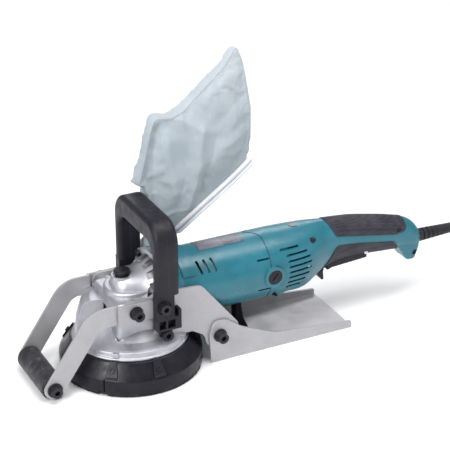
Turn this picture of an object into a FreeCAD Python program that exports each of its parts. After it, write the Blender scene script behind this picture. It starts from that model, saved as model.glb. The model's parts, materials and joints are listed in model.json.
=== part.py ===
"""Hand-held concrete planer: a flat-cup grinding head under a brush-sealed hood, driven through bevel
gears by a barrel motor, with a bail grip over the head, a pivoting front roller, a pivoting rear sole
plate, a dust bag on a duct and a mains lead. Millimetres. Each sub-part is written to parts/NODE.step.

Every part is drawn with the wheel axis at X = 0, the nose towards -X, the rear handle towards +X, the
operator's left at -Y and the work surface at Z = 0. write() then shifts it by FRAME_X, so that the origin
of the finished frame is under the middle of the tool, at the work surface.
"""
import FreeCAD
import Part
import math
import os

from FreeCAD import Vector

# ---- driving dimensions ------------------------------------------------------------------------------
HOOD_R = 83.5            # outside radius of the dust skirt
SKIRT_H = 20.0           # height of the skirt's upright wall
RIM_R = 68.0             # hood casting at its lower rim
RIM_Z = 38.0
WHEEL_R = 62.5           # 125 mm cup wheel
HEAD_W = 37.0            # half width of the gear housing
HEAD_FRONT = -31.0       # its front wall
HEAD_Z = 50.5            # its underside, on the hood
MOTOR_Z = 90.0           # motor axis above the work surface
MOTOR_R = 41.0
FLANGE_X = 26.0          # gear housing's rear flange
SPLIT_X = 170.0          # motor housing meets the handle shells
HANDLE_END = 387.0
ROLLER_X = -111.5
ROLLER_R = 14.0
PLATE_T = 3.0            # steel frame plates
PLATE_Y = 40.5           # inner face of the side plates
ARM_PIVOT = (-12.0, 89.0)    # X, Z of the bolts that carry the roller arms
ARM_SLOPE = 55.5         # degrees, lower run of an arm against the floor
ARM_W = 23.5             # width of an arm's strap
SOLE_PIVOT = (92.5, 34.5)    # X, Z of the bolts that carry the sole plate
GRIP_BOLT = (17.5, 94.0)     # X, Z of the bolts through the bail grip's feet
FRAME_BOLT = (24.5, 53.5)    # X, Z of the lower bolts of the side plates
BOLT_TIP = -36.2         # how deep both go into the gear housing
SOLE_Y = 44.2            # inner face of the sole plate's flanges
SOLE_REAR = 270.0
GEAR_TEETH = 31
PINION_TEETH = 11
GEAR_MODULE = 1.8
BUTTON_X = -8.5         # spindle lock button
LOCK_PIN_OUT = 12.6      # its pin's distance from the spindle axis
LOCK_PIN_R = 2.0
MESH_GAP = 0.35          # the pinion stands this much back from the cone's point, for play in the teeth
GRIP_X = 22.5            # plane of the bail grip
GRIP_TOP = 181.0         # centre height of its cross bar
DUCT_R = 14.0
DUCT_TOP = (56.0, 62.0, 97.0)
CORD_R = 4.25
CORD_Z = 77.2            # height of the cord's outlet
FRAME_X = -(ROLLER_X - ROLLER_R + HANDLE_END) / 2.0
AXIS_Y = Vector(0, 1, 0)
AXIS_X = Vector(1, 0, 0)
AXIS_Z = Vector(0, 0, 1)


# ---- small helpers -----------------------------------------------------------------------------------
def write(name, shape):
    """Moves a sub-part into the finished frame and writes it."""
    solids = shape.Solids
    if not solids:
        raise ValueError(name + " has no solid")
    placed = Part.makeCompound(solids) if len(solids) > 1 else solids[0].copy()
    placed.translate(Vector(FRAME_X, 0, 0))
    placed.exportStep("parts/" + name + ".step")
    size = placed.Volume / 1000
    print(f"{name:22s} solids {len(solids):3d}  volume {size:9.2f} cm3  valid {placed.isValid()}")


def box(x0, x1, y0, y1, z0, z1):
    return Part.makeBox(x1 - x0, y1 - y0, z1 - z0, Vector(x0, y0, z0))


def rod_x(r, x0, x1, y=0.0, z=0.0):
    return Part.makeCylinder(r, x1 - x0, Vector(x0, y, z), AXIS_X)


def rod_y(r, y0, y1, x=0.0, z=0.0):
    return Part.makeCylinder(r, y1 - y0, Vector(x, y0, z), AXIS_Y)


def rod_z(r, z0, z1, x=0.0, y=0.0):
    return Part.makeCylinder(r, z1 - z0, Vector(x, y, z0), AXIS_Z)


def tube_x(r_out, r_in, x0, x1, y=0.0, z=0.0):
    return rod_x(r_out, x0, x1, y, z).cut(rod_x(r_in, x0 - 1, x1 + 1, y, z))


def tube_z(r_out, r_in, z0, z1, x=0.0, y=0.0):
    return rod_z(r_out, z0, z1, x, y).cut(rod_z(r_in, z0 - 1, z1 + 1, x, y))


def fuse(shapes):
    """One shape from several overlapping ones."""
    shapes = list(shapes)
    whole = shapes[0]
    if len(shapes) > 1:
        whole = whole.multiFuse(shapes[1:])
    return whole.removeSplitter()


def cut(shape, tools):
    for tool in tools:
        shape = shape.cut(tool)
    return shape


def group(shapes):
    """Separate solids that share one node."""
    return Part.makeCompound([solid for shape in shapes for solid in shape.Solids])


def largest(shape):
    """A cut part without the crumbs that the cuts leave."""
    return max(shape.Solids, key=lambda solid: solid.Volume)


def mirror_y(shape):
    return shape.mirror(Vector(0, 0, 0), AXIS_Y)


def both_sides(shape):
    return group([shape, mirror_y(shape)])


def rounded_wire(corners, place):
    """A closed outline of straight sides whose corners are arcs. corners are (u, v, radius), and
    place(u, v) gives a point in space."""
    count = len(corners)
    arcs = []
    for i, (u, v, radius) in enumerate(corners):
        here = Vector(u, v, 0)
        back = Vector(*corners[i - 1][:2], 0) - here
        ahead = Vector(*corners[(i + 1) % count][:2], 0) - here
        half = back.getAngle(ahead) / 2
        reach = 0 if radius == 0 else radius / math.tan(half)
        start = here + back.normalize() * reach
        end = here + ahead.normalize() * reach
        middle = here
        if radius:
            bisector = (back + ahead).normalize()
            middle = here + bisector * (radius / math.sin(half) - radius)
        arcs.append((start, middle, end, radius))
    edges = []
    for i, (start, middle, end, radius) in enumerate(arcs):
        if radius:
            edges.append(Part.Arc(place(start.x, start.y), place(middle.x, middle.y),
                                  place(end.x, end.y)).toShape())
        after = arcs[(i + 1) % count][0]
        if end.distanceToPoint(after) > 1e-6:
            edges.append(Part.LineSegment(place(end.x, end.y), place(after.x, after.y)).toShape())
    return Part.Wire(edges)


def slab_xz(corners, y0, y1):
    """A plate of rounded outline in X and Z, from y0 to y1."""
    wire = rounded_wire(corners, lambda u, v: Vector(u, y0, v))
    return Part.Face(wire).extrude(Vector(0, y1 - y0, 0))


def slab_xy(corners, z0, z1):
    wire = rounded_wire(corners, lambda u, v: Vector(u, v, z0))
    return Part.Face(wire).extrude(Vector(0, 0, z1 - z0))


def slab_yz(corners, x0, x1):
    wire = rounded_wire(corners, lambda u, v: Vector(x0, u, v))
    return Part.Face(wire).extrude(Vector(x1 - x0, 0, 0))


def turned_z(profile):
    """A solid turned about the wheel axis from a closed profile of (radius, height, corner radius)."""
    wire = rounded_wire(profile, lambda u, v: Vector(u, 0, v))
    return Part.Face(wire).revolve(Vector(0, 0, 0), AXIS_Z, 360)


def turned_x(profile, z):
    """A solid turned about an axis along X at height z, from (x, radius, corner radius)."""
    wire = rounded_wire(profile, lambda u, v: Vector(u, 0, z + v))
    return Part.Face(wire).revolve(Vector(0, 0, z), AXIS_X, 360)


def ellipse_x(x, z, half_width, half_height):
    """An upright elliptical section at x."""
    placed = FreeCAD.Placement(Vector(x, 0, z), FreeCAD.Rotation(Vector(0, 1, 0), 90))
    if half_height >= half_width:
        curve = Part.Ellipse(Vector(0, 0, 0), half_height, half_width).toShape()
    else:
        curve = Part.Ellipse(Vector(0, 0, 0), half_width, half_height).toShape()
        placed = placed.multiply(FreeCAD.Placement(Vector(), FreeCAD.Rotation(AXIS_Z, 90)))
    curve.Placement = placed
    return Part.Wire([curve])


def sweep(path_edges, radius):
    """A round bar along a path of straight runs and tangent arcs."""
    path = Part.Wire(path_edges)
    start = path_edges[0].valueAt(path_edges[0].FirstParameter)
    direction = path_edges[0].tangentAt(path_edges[0].FirstParameter)
    section = Part.Wire([Part.makeCircle(radius, start, direction)])
    return path.makePipeShell([section], True, False)


def bent_path(points, share=0.45):
    """Runs through the points joined by tangent arcs, each as large as its two runs allow. Returns the
    edges and the radii."""
    points = [Vector(*p) for p in points]
    edges = []
    radii = []
    last = points[0]
    for before, here, after in zip(points, points[1:], points[2:]):
        back = before - here
        ahead = after - here
        reach = share * min(back.Length, ahead.Length)
        turn = math.pi - back.getAngle(ahead)
        radius = reach / math.tan(turn / 2)
        start = here + back.normalize() * reach
        end = here + ahead.normalize() * reach
        middle = here + (back + ahead).normalize() * (radius / math.cos(turn / 2) - radius)
        edges.append(Part.LineSegment(last, start).toShape())
        edges.append(Part.Arc(start, middle, end).toShape())
        radii.append(radius)
        last = end
    edges.append(Part.LineSegment(last, points[-1]).toShape())
    return edges, radii


def socket_bolt(x, z, y_seat, y_tip, r_shank, r_head, head, washer=0.0):
    """A hexagon-socket bolt on the -Y side, its head seated at y_seat and its shank reaching y_tip."""
    outer = y_seat - washer - head
    bolt = rod_y(r_head, outer, y_seat - washer, x, z)
    bolt = bolt.fuse(rod_y(r_shank, y_seat - washer - 0.5, y_tip, x, z)).removeSplitter()
    points = [(0.55 * r_head * math.cos(math.radians(60 * i)),
               0.55 * r_head * math.sin(math.radians(60 * i)), 0)
              for i in range(6)]
    key = slab_xz([(x + u, z + v, 0) for u, v, _ in points], outer - 1, outer + 0.6 * head)
    return bolt.cut(key)


def washer_y(x, z, y0, y1, r_out, r_in):
    return rod_y(r_out, y0, y1, x, z).cut(rod_y(r_in, y0 - 1, y1 + 1, x, z))


# ---- shapes that several parts share -----------------------------------------------------------------
HANDLE_STATIONS = [      # X, centre Z, half width, half height
    (SPLIT_X, MOTOR_Z, MOTOR_R, MOTOR_R),
    (190.0, 89.8, MOTOR_R, MOTOR_R),
    (207.0, 89.7, 39.5, 40.8),
    (222.0, 91.0, 35.5, 39.5),
    (236.0, 94.5, 29.5, 35.5),
    (250.0, 97.8, 24.0, 31.0),
    (268.0, 99.6, 20.5, 27.8),
    (292.0, 98.8, 19.0, 26.2),
    (316.0, 96.0, 18.5, 24.3),
    (339.0, 92.6, 18.2, 22.6),
    (357.0, 89.4, 18.0, 21.0),
    (373.0, 84.8, 17.5, 20.0),
    (382.5, 80.5, 15.5, 16.5),
    (HANDLE_END, 78.5, 11.5, 12.0),
]


def handle_body(grow=0.0, start=0.0, stop=0.0):
    """The rear handle's outer form, grown by a wall thickness."""
    wires = []
    for x, z, b, h in HANDLE_STATIONS:
        if x == SPLIT_X:
            x = x + start
        if x == HANDLE_END:
            x = x + stop
        wires.append(ellipse_x(x, z, b + grow, h + grow))
    return Part.makeLoft(wires, True, False)


def tail_block():
    """The hooked pommel at the end of the handle."""
    corners = [(349.0, 84.0, 0), (355.0, 74.0, 8), (368.5, 53.0, 5), (379.0, 53.0, 5), (384.5, 68.0, 8),
               (386.0, 84.0, 0)]
    block = slab_xz(corners, -15.0, 15.0)
    rims = [e for e in block.Edges if e.BoundBox.YLength < 0.01 and e.BoundBox.ZMax < 83
            and e.BoundBox.ZMin > 52]
    return block.makeFillet(4.0, rims)


def gear_solid(teeth, mate_teeth, module, apex, face, backlash):
    """A straight bevel gear about +Z, cones meeting at the apex height, teeth on the underside."""
    pitch_r = module * teeth / 2
    mate_r = module * mate_teeth / 2
    cone = math.hypot(pitch_r, mate_r)
    step = 2 * math.pi / teeth

    def ring(scale, addendum, dedendum):
        points = []
        for i in range(teeth):
            middle = i * step
            for offset, height in ((-0.42, -dedendum), (-0.25 + backlash, 0.0), (-0.12, addendum),
                                   (0.12, addendum),
                                   (0.25 - backlash, 0.0), (0.42, -dedendum)):
                radius = (pitch_r + height * mate_r / cone) * scale
                drop = (mate_r - height * pitch_r / cone) * scale
                angle = middle + offset * step
                points.append(Vector(radius * math.cos(angle), radius * math.sin(angle), apex - drop))
        return points

    outer = ring(1.0, 0.85 * module, 1.1 * module)
    inner = ring(1.0 - face / cone, 0.85 * module, 1.1 * module)
    faces = []
    count = len(outer)
    for i in range(count):
        j = (i + 1) % count
        for triple in ((outer[i], outer[j], inner[j]), (outer[i], inner[j], inner[i])):
            faces.append(Part.Face(Part.makePolygon(list(triple) + [triple[0]])))
    hub_out = Vector(0, 0, min(p.z for p in outer) - 2.5)
    hub_in = Vector(0, 0, max(p.z for p in inner) - 0.5)
    for centre, loop, flip in ((hub_out, outer, True), (hub_in, inner, False)):
        for i in range(count):
            j = (i + 1) % count
            triple = (centre, loop[j], loop[i]) if flip else (centre, loop[i], loop[j])
            faces.append(Part.Face(Part.makePolygon(list(triple) + [triple[0]])))
    shell = Part.makeShell(faces)
    solid = Part.makeSolid(shell)
    if solid.Volume < 0:
        solid.reverse()
    return solid


# ---- grinding head -----------------------------------------------------------------------------------
def spindle_shaft():
    core = turned_z([(0, 13, 0), (7, 13, 0.8), (7, 24, 0), (10, 24, 0), (10, 28, 0), (7.5, 28, 0),
                     (7.5, 46, 0),
                     (8.5, 46, 0), (8.5, 74, 0), (6, 74, 0), (6, 106, 0.8), (0, 106, 0)])
    flats = [box(-12, 12, 8.5, 12, 24, 28), box(-12, 12, -12, -8.5, 24, 28)]
    return cut(core, flats)


def bevel_gear():
    gear = gear_solid(GEAR_TEETH, PINION_TEETH, GEAR_MODULE, MOTOR_Z, 9.0, 0.05)
    blank = tube_z(16, 8.5, 63.0, 77.5)
    web = turned_z([(8.5, 66, 0), (26.0, 72.0, 0), (26.0, 75.4, 0), (20.0, 78.0, 0), (8.5, 78.0, 0)])
    gear = gear.cut(rod_z(15, 40, 110))
    gear = fuse([gear, web, blank]).cut(rod_z(8.5, 50, 100))
    pockets = [rod_z(LOCK_PIN_R + 0.8, 74.0, 90.0, LOCK_PIN_OUT * math.cos(a), LOCK_PIN_OUT * math.sin(a))
               for a in [math.pi / 2 * i for i in range(4)]]
    return cut(gear, pockets)


def spindle_bearing():
    """Shielded ball bearing under the bevel gear, with a shallow groove over its shield on each face."""
    return turned_z([(8.5, 50, 0.5), (11.6, 50, 0), (11.6, 50.8, 0), (13.2, 50.8, 0), (13.2, 50, 0),
                     (17.5, 50, 0.8),
                     (17.5, 61, 0.8), (13.2, 61, 0), (13.2, 60.2, 0), (11.6, 60.2, 0), (11.6, 61, 0),
                     (8.5, 61, 0.5)])


def top_bearing():
    return turned_z([(6, 98, 0.3), (10, 98, 0.4), (10, 106, 0.4), (6, 106, 0.3)])


def grinding_wheel():
    body = turned_z([(7.2, 17.5, 0), (7.2, 13.0, 0), (24, 13.0, 0), (34, 8.0, 2), (44, 6.5, 1),
                     (WHEEL_R, 6.5, 0.6),
                     (WHEEL_R, 10.5, 0.6), (40, 11.5, 2), (28, 17.5, 2)])
    vents = [rod_z(3.0, 0, 30, 36 * math.cos(a), 36 * math.sin(a))
             for a in [math.pi * i / 4 for i in range(8)]]
    return cut(body, vents)


def wheel_segments():
    """Diamond segments in two offset rings under the cup."""
    made = []
    for count, r_in, r_out, offset in ((12, 54.0, 62.0, 0.0), (9, 44.5, 52.0, 10.0)):
        ring = tube_z(r_out, r_in, 1.0, 6.5)
        for i in range(count):
            a0 = math.radians(offset + 360.0 * i / count)
            a1 = a0 + math.radians(360.0 / count * 0.78)
            far = 90.0
            wedge = Part.makePolygon([Vector(0, 0, 0), Vector(far * math.cos(a0), far * math.sin(a0), 0),
                                      Vector(far * math.cos((a0 + a1) / 2) * 1.1,
                                             far * math.sin((a0 + a1) / 2) * 1.1, 0),
                                      Vector(far * math.cos(a1), far * math.sin(a1), 0), Vector(0, 0, 0)])
            made.append(ring.common(Part.Face(wedge).extrude(Vector(0, 0, 20))))
    return group(made)


def inner_flange():
    return turned_z([(7.2, 17.5, 0), (19, 17.5, 0.6), (19, 21, 0.6), (14, 23.8, 0.6), (7.2, 23.8, 0)])


def lock_nut():
    nut = turned_z([(7.2, 4.5, 0), (17, 4.5, 0.6), (20, 8.5, 0.4), (20, 13.0, 0), (7.2, 13.0, 0)])
    pin_holes = [rod_z(2.5, 3, 9, 13 * math.cos(a), 13 * math.sin(a))
                 for a in [math.pi / 2 * i for i in range(4)]]
    return cut(nut, pin_holes)


def hood_outer():
    """The hood's outer form: a low dome with a stepped rim, and a tall dust volute at its far front."""
    dome = turned_z([(0, RIM_Z, 0), (RIM_R, RIM_Z, 0.8), (RIM_R, RIM_Z + 2.5, 0.8), (65.5, RIM_Z + 3.2, 0.8),
                     (65.0, RIM_Z + 8.5, 1.2), (61.0, RIM_Z + 10.0, 1.5), (50, 51.0, 8), (38.0, 58.0, 4),
                     (34.0, 62.0, 0),
                     (0, 62.0, 0)])
    volute = turned_z([(0, 44, 0), (64.5, 44, 0), (62.0, 64, 18), (56.0, 84.0, 5), (46, 88.0, 5),
                       (0, 88.0, 0)])
    sector = slab_xy([(0, -2, 0), (-92, 12, 0), (-110, 90, 0), (-4, 90, 0)], 40, 90)
    sector = sector.cut(box(-120, 0, PLATE_Y - 0.6, 120, 66, 95))
    return fuse([dome, volute.common(sector)])


def duct_path():
    return [(44.0, 51.0, 34.0), (50.0, 57.0, 60.0), (56.0, 62.0, 78.0), DUCT_TOP]


def duct_bar(radius):
    edges, _ = bent_path(duct_path())
    return sweep(edges, radius)


def wheel_cover():
    outer = hood_outer()
    inside = turned_z([(0, 10, 0), (65.0, 10, 0), (65.0, RIM_Z + 0.5, 2), (60.5, RIM_Z + 6.0, 4),
                       (48, 47.0, 6), (34, 49.5, 0),
                       (0, 49.5, 0)])
    volute_in = turned_z([(40.0, 42, 0), (61.0, 42, 0), (58.5, 62, 14), (52.5, 80.0, 4), (44, 84.0, 3),
                          (40.0, 84.0, 0)])
    pocket = slab_xy([(-34.5, 5, 0), (-86, 16, 0), (-90, 37.0, 0), (-34.5, 37.0, 0)], 40, 86)
    cover = cut(outer, [inside, volute_in.common(pocket)])
    seat = box(HEAD_FRONT, 60, -HEAD_W, HEAD_W, 50.5, 120)
    cover = cut(cover, [seat, rod_z(36, 30, 50.5), duct_bar(DUCT_R)])
    lug = box(61.0, RIM_R - 0.4, -3.3, 3.3, RIM_Z + 2.0, RIM_Z + 9.0)
    lugs = [about_spindle(lug, angle) for angle in (-127.9, -45.0, 28.0)]
    plinth = slab_xy([(HEAD_FRONT - 2.5, -HEAD_W - 2.5, 8), (40, -HEAD_W - 2.5, 8), (40, HEAD_W + 2.5, 8),
                      (HEAD_FRONT - 2.5, HEAD_W + 2.5, 8)],
                     49.6, 55.0)
    plinth = plinth.makeChamfer(2.3, [e for e in plinth.Edges if e.BoundBox.ZMin > 54.9])
    plinth = cut(plinth, [seat, rod_z(36, 30, 50.5), duct_bar(DUCT_R)]).common(rod_z(46, 40, 60))
    cover = fuse([cover, plinth] + lugs).cut(tube_z(90, RIM_R, 0, RIM_Z))
    plate = side_plate()
    stands_on = [housing_outer(), motor_outer(), plate, mirror_y(plate), grip_bolts(), pivot_bolts(),
                 pivot_washers()]
    return largest(cut(cover, stands_on))


def skirt_form(grow=0.0):
    """The skirt's outer form without its bore, grown outwards."""
    g = grow
    return turned_z([(0, 0, 0), (0, RIM_Z + g, 0), (RIM_R + 2.5 + 0.6 * g, RIM_Z + g, 1.5),
                     (HOOD_R - 3.0 + 0.8 * g, SKIRT_H + 4.0 + 0.6 * g, 5), (HOOD_R - 0.2 + g, SKIRT_H, 2.0),
                     (HOOD_R + g, 5.5, 0.8), (HOOD_R + g, 0, 0)])


def about_spindle(shape, angle):
    shape = shape.copy()
    shape.rotate(Vector(0, 0, 0), AXIS_Z, angle)
    return shape


CLIP_ANGLES = (-129.2, -89.5, -20.0, 82.0, 138.2)
SLIT_ANGLES = (-134.8, 54.5, 132.6)


def dust_skirt():
    """Flexible ring round the hood: an upright wall and a shoulder that grips the hood's rim."""
    room = turned_z([(0, -1, 0), (HOOD_R - 5.0, -1, 0), (HOOD_R - 5.0, SKIRT_H - 2, 1.5),
                     (RIM_R + 3.2, RIM_Z - 8.0, 2),
                     (RIM_R + 3.2, RIM_Z - 12, 0), (RIM_R, RIM_Z - 12, 0), (RIM_R, RIM_Z + 1, 0),
                     (0, RIM_Z + 1, 0)])
    ring = skirt_form().cut(room).cut(rod_z(HOOD_R + 5, -1, 5.5))
    slit = box(RIM_R + 8, HOOD_R + 2, -0.7, 0.7, 0, SKIRT_H + 2)
    return cut(ring, [about_spindle(slit, angle) for angle in SLIT_ANGLES])


def skirt_brush():
    """Bristle strips clamped inside the skirt, with a short strip beside each slit."""
    strip = tube_z(HOOD_R - 0.8, HOOD_R - 5.0, 0.0, 5.5).fuse(tube_z(HOOD_R - 5.0, HOOD_R - 8.0, 0.0, 12.0))
    made = strip.removeSplitter()
    gap = box(RIM_R - 2, HOOD_R + 2, -0.8, 0.8, -1, 14)
    lift = box(HOOD_R - 6.0, HOOD_R + 2, -1.0, 8.5, -1, 1.6)
    for angle in SLIT_ANGLES:
        made = made.cut(about_spindle(gap, angle - 4.2))
        made = made.cut(about_spindle(lift, angle - 4.2))
    return made


def skirt_clips():
    """Small plates on the shoulder that clamp the skirt's ends."""
    plan = slab_xy([(RIM_R + 3.0, -3.5, 0.5), (HOOD_R - 1.5, -7.5, 1), (HOOD_R - 1.5, 7.5, 1),
                    (RIM_R + 3.0, 3.5, 0.5)], SKIRT_H, 50)
    clip = plan.common(skirt_form(1.8)).cut(skirt_form())
    return group([about_spindle(clip, angle) for angle in CLIP_ANGLES])


def skirt_screws():
    """One round-headed screw through each clip, square to the shoulder."""
    out = Vector(0.81, 0, 0.586)
    seat = Vector(RIM_R + 8.3, 0, RIM_Z - 8.1)
    head = Part.makeCylinder(3.2, 3.6, seat, out).cut(Part.makeCylinder(1.7, 3.0, seat + out * 2.4, out))
    head = head.cut(skirt_form(1.8))
    return group([about_spindle(head, angle) for angle in CLIP_ANGLES])


def dust_duct():
    solid = duct_bar(DUCT_R)
    bore = duct_bar(DUCT_R - 2.2)
    pipe = solid.cut(bore)
    cap = rod_z(DUCT_R + 3, DUCT_TOP[2] - 18.0, DUCT_TOP[2] - 15.0, DUCT_TOP[0], DUCT_TOP[1])
    ring = cap.cut(bore)
    pipe = fuse([pipe, ring])
    room = [turned_z([(0, 10, 0), (65.0, 10, 0), (65.0, RIM_Z + 0.5, 2), (60.5, RIM_Z + 6.0, 4),
                      (48, 47.0, 6), (34, 49.5, 0),
                      (0, 49.5, 0)]), skirt_form()]
    return cut(pipe, room)


# ---- gear housing ------------------------------------------------------------------------------------
def housing_outer():
    block = slab_xy([(HEAD_FRONT, -HEAD_W, 7), (FLANGE_X, -HEAD_W, 0), (FLANGE_X, HEAD_W, 0),
                     (HEAD_FRONT, HEAD_W, 7)], 50.5, 97)
    top_edges = [e for e in block.Edges if abs(e.BoundBox.ZMin - 97) < 0.01
                 and abs(e.BoundBox.ZMax - 97) < 0.01
                 and (e.BoundBox.XMax < FLANGE_X - 0.5 or e.BoundBox.XLength > 20)]
    block = block.makeFillet(4.0, top_edges)
    step_low = rod_z(29.0, 90, 103, -1, 0)
    step_low = fuse([step_low, box(-1, FLANGE_X, -29, 29, 90, 103)])
    step_edges = [e for e in step_low.Edges if abs(e.BoundBox.ZMin - 103) < 0.01
                  and e.BoundBox.XMax < FLANGE_X - 0.1]
    step_low = step_low.makeFillet(3.0, step_edges)
    crown = Part.makeLoft([ellipse_x(-21.0, 97.0, 11.0, 12.0), ellipse_x(-12.0, 99.0, 20.0, 18.2),
                           ellipse_x(3.0, 97.5, 26.0, 21.0), ellipse_x(15.0, 94.0, 33.0, 29.0),
                           ellipse_x(FLANGE_X + 0.5, MOTOR_Z, 40.0, 40.0)], True, False)
    crown = crown.common(box(-60, FLANGE_X, -60, 60, 92, 140))
    boss = rod_z(12.5, 100, 116.0, BUTTON_X, 0)
    neck = Part.makeLoft([ellipse_x(4.0, 82.0, 34.0, 30.0), ellipse_x(14.0, 84.0, 36.0, 33.0),
                          ellipse_x(FLANGE_X + 0.5, MOTOR_Z, 40.0, 40.0)], True, False)
    neck = neck.common(box(-60, FLANGE_X, -60, 60, 50.5, 140))
    flange = rod_x(46.0, FLANGE_X, FLANGE_X + 8.0, 0, MOTOR_Z).cut(box(-60, 60, -60, 60, 30, HEAD_Z))
    lugs = []
    for angle in FLANGE_ANGLES:
        y = 43.0 * math.cos(math.radians(angle))
        z = MOTOR_Z + 43.0 * math.sin(math.radians(angle))
        lugs.append(rod_x(6.0, FLANGE_X, FLANGE_X + 8.0, y, z))
    side_bosses = [rod_y(9.0, -PLATE_Y, PLATE_Y, x, z) for x, z in (ARM_PIVOT, GRIP_BOLT, FRAME_BOLT)]
    whole = fuse([block, step_low, crown, boss, neck, flange] + lugs + side_bosses)
    return cut(whole, [rod_z(33.0, 30, HEAD_Z), both_sides(box(-60, 100, -80, -PLATE_Y, 0, 106))])


FLANGE_ANGLES = (48.0, 132.0, 222.0, 318.0)


def gear_housing():
    body = housing_outer()
    gear_room = turned_z([(0, 61.5, 0), (31.5, 61.5, 0), (31.5, 82, 2), (25, 94.5, 2), (0, 94.5, 0)])
    bearing_seat = rod_z(17.55, 49, 62)
    lower_mouth = rod_z(30.0, 49, 54.0)
    top_seat = rod_z(10.05, 94, 107)
    button_bore = fuse([rod_z(8.3, 109.0, 130, BUTTON_X, 0), rod_z(10.0, 114.8, 130, BUTTON_X, 0),
                        rod_z(LOCK_PIN_R + 0.3, 90, 120, -LOCK_PIN_OUT, 0)])
    pinion_room = rod_x(13.0, 0, FLANGE_X + 10, 0, MOTOR_Z)
    motor_seat = rod_x(15.05, 33.0, 50.0, 0, MOTOR_Z)
    fan_well = tube_x(39.0, 19.0, FLANGE_X + 3.0, FLANGE_X + 12.0, 0, MOTOR_Z)
    body = cut(body, [gear_room, bearing_seat, lower_mouth, top_seat, button_bore, pinion_room, motor_seat,
                      fan_well])
    collar = tube_x(19.0, 15.05, FLANGE_X + 3.0, FLANGE_X + 20.0, 0, MOTOR_Z)
    body = fuse([body, collar])
    # exhaust windows between radial ribs, open to the fan
    windows = []
    for middle in range(30, 151, 24):
        for r0, r1 in ((22.5, 30.5), (33.0, 41.0)):
            low = math.radians(middle - 8 - (1 if r0 < 30 else 0))
            high = math.radians(middle + 8 + (1 if r0 < 30 else 0))
            corners = [(r * math.cos(a), MOTOR_Z + r * math.sin(a), 1.0) for r, a in
                       ((r0, low), (r1, low), (r1, high), (r0, high))]
            windows.append(slab_yz(corners, FLANGE_X - 12.0, FLANGE_X + 6.0))
    body = cut(body, windows)
    screw_seats = [rod_z(3.45, 96.6, 120, 12.5, y) for y in (-31.5, 31.5)]
    ring_hole = rod_z(1.05, MOTOR_Z + 44.0, MOTOR_Z + 50.0, FLANGE_X + 4.0, 0)
    bolts = ((ARM_PIVOT, -24), (GRIP_BOLT, BOLT_TIP), (FRAME_BOLT, BOLT_TIP))
    tapped = [rod_y(4.0, -PLATE_Y - 1, y, x, z) for (x, z), y in bolts]
    tapped += [mirror_y(t) for t in tapped]
    screws = []
    for angle in FLANGE_ANGLES:
        y = 43.0 * math.cos(math.radians(angle))
        z = MOTOR_Z + 43.0 * math.sin(math.radians(angle))
        screws += [rod_x(2.2, FLANGE_X - 1, FLANGE_X + 12, y, z), rod_x(4.2, FLANGE_X - 12, FLANGE_X, y, z)]
    duct_room = duct_bar(DUCT_R + 0.4)
    return cut(body, tapped + screws + screw_seats + [duct_room, ring_hole])


def bearing_retainer():
    """The plate that closes the gear room from below, inside the hood."""
    plate = turned_z([(9.0, 47.0, 0), (33.0, 47.0, 1.0), (33.0, 50.5, 0), (29.9, 50.5, 0), (29.9, 54.0, 0),
                      (17.55, 54.0, 0),
                      (17.55, 49.7, 0), (9.0, 49.7, 0)])
    heads = [rod_z(3.2, 44.4, 47.0, 25.5 * math.cos(a), 25.5 * math.sin(a))
             for a in [math.radians(45 + 90 * i) for i in range(4)]]
    return fuse([plate] + heads)


def lock_button():
    """Spring-loaded cap with a pin that drops into the gear and holds the spindle."""
    cap = turned_z([(0, 114.8, 0), (8.1, 114.8, 0), (8.1, 119.0, 0), (9.6, 119.0, 0.5), (9.6, 122.0, 2.0),
                    (0, 123.0, 0)])
    cap.translate(Vector(BUTTON_X, 0, 0))
    return fuse([cap, rod_z(LOCK_PIN_R, 83.4, 116.0, -LOCK_PIN_OUT, 0)])


def lock_spring():
    return tube_z(4.2, 3.0, 109.0, 114.8, BUTTON_X + 3.0, 0)


def housing_screws():
    """Screws that hold the gear housing down to the hood, at its shoulders."""
    heads = []
    for y in (-31.5, 31.5):
        head = rod_z(3.4, 96.6, 100.2, 12.5, y).cut(rod_z(1.8, 98.4, 101, 12.5, y))
        heads.append(head)
    return group(heads)


def hang_ring():
    """Small wire ring at the top of the flange."""
    ring = Part.makeTorus(3.4, 0.8, Vector(FLANGE_X + 4.0, 0, MOTOR_Z + 50.3), AXIS_X)
    return ring.fuse(rod_z(1.0, MOTOR_Z + 45.0, MOTOR_Z + 47.4, FLANGE_X + 4.0, 0)).removeSplitter()


def flange_screws():
    made = []
    for angle in FLANGE_ANGLES:
        y = 43.0 * math.cos(math.radians(angle))
        z = MOTOR_Z + 43.0 * math.sin(math.radians(angle))
        head = rod_x(4.0, FLANGE_X - 3.5, FLANGE_X, y, z)
        shank = rod_x(2.2, FLANGE_X - 0.5, FLANGE_X + 18, y, z)
        slot = box(FLANGE_X - 4, FLANGE_X - 2, y - 0.5, y + 0.5, z - 5, z + 5)
        made.append(fuse([head, shank]).cut(slot))
    return group(made)


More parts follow.
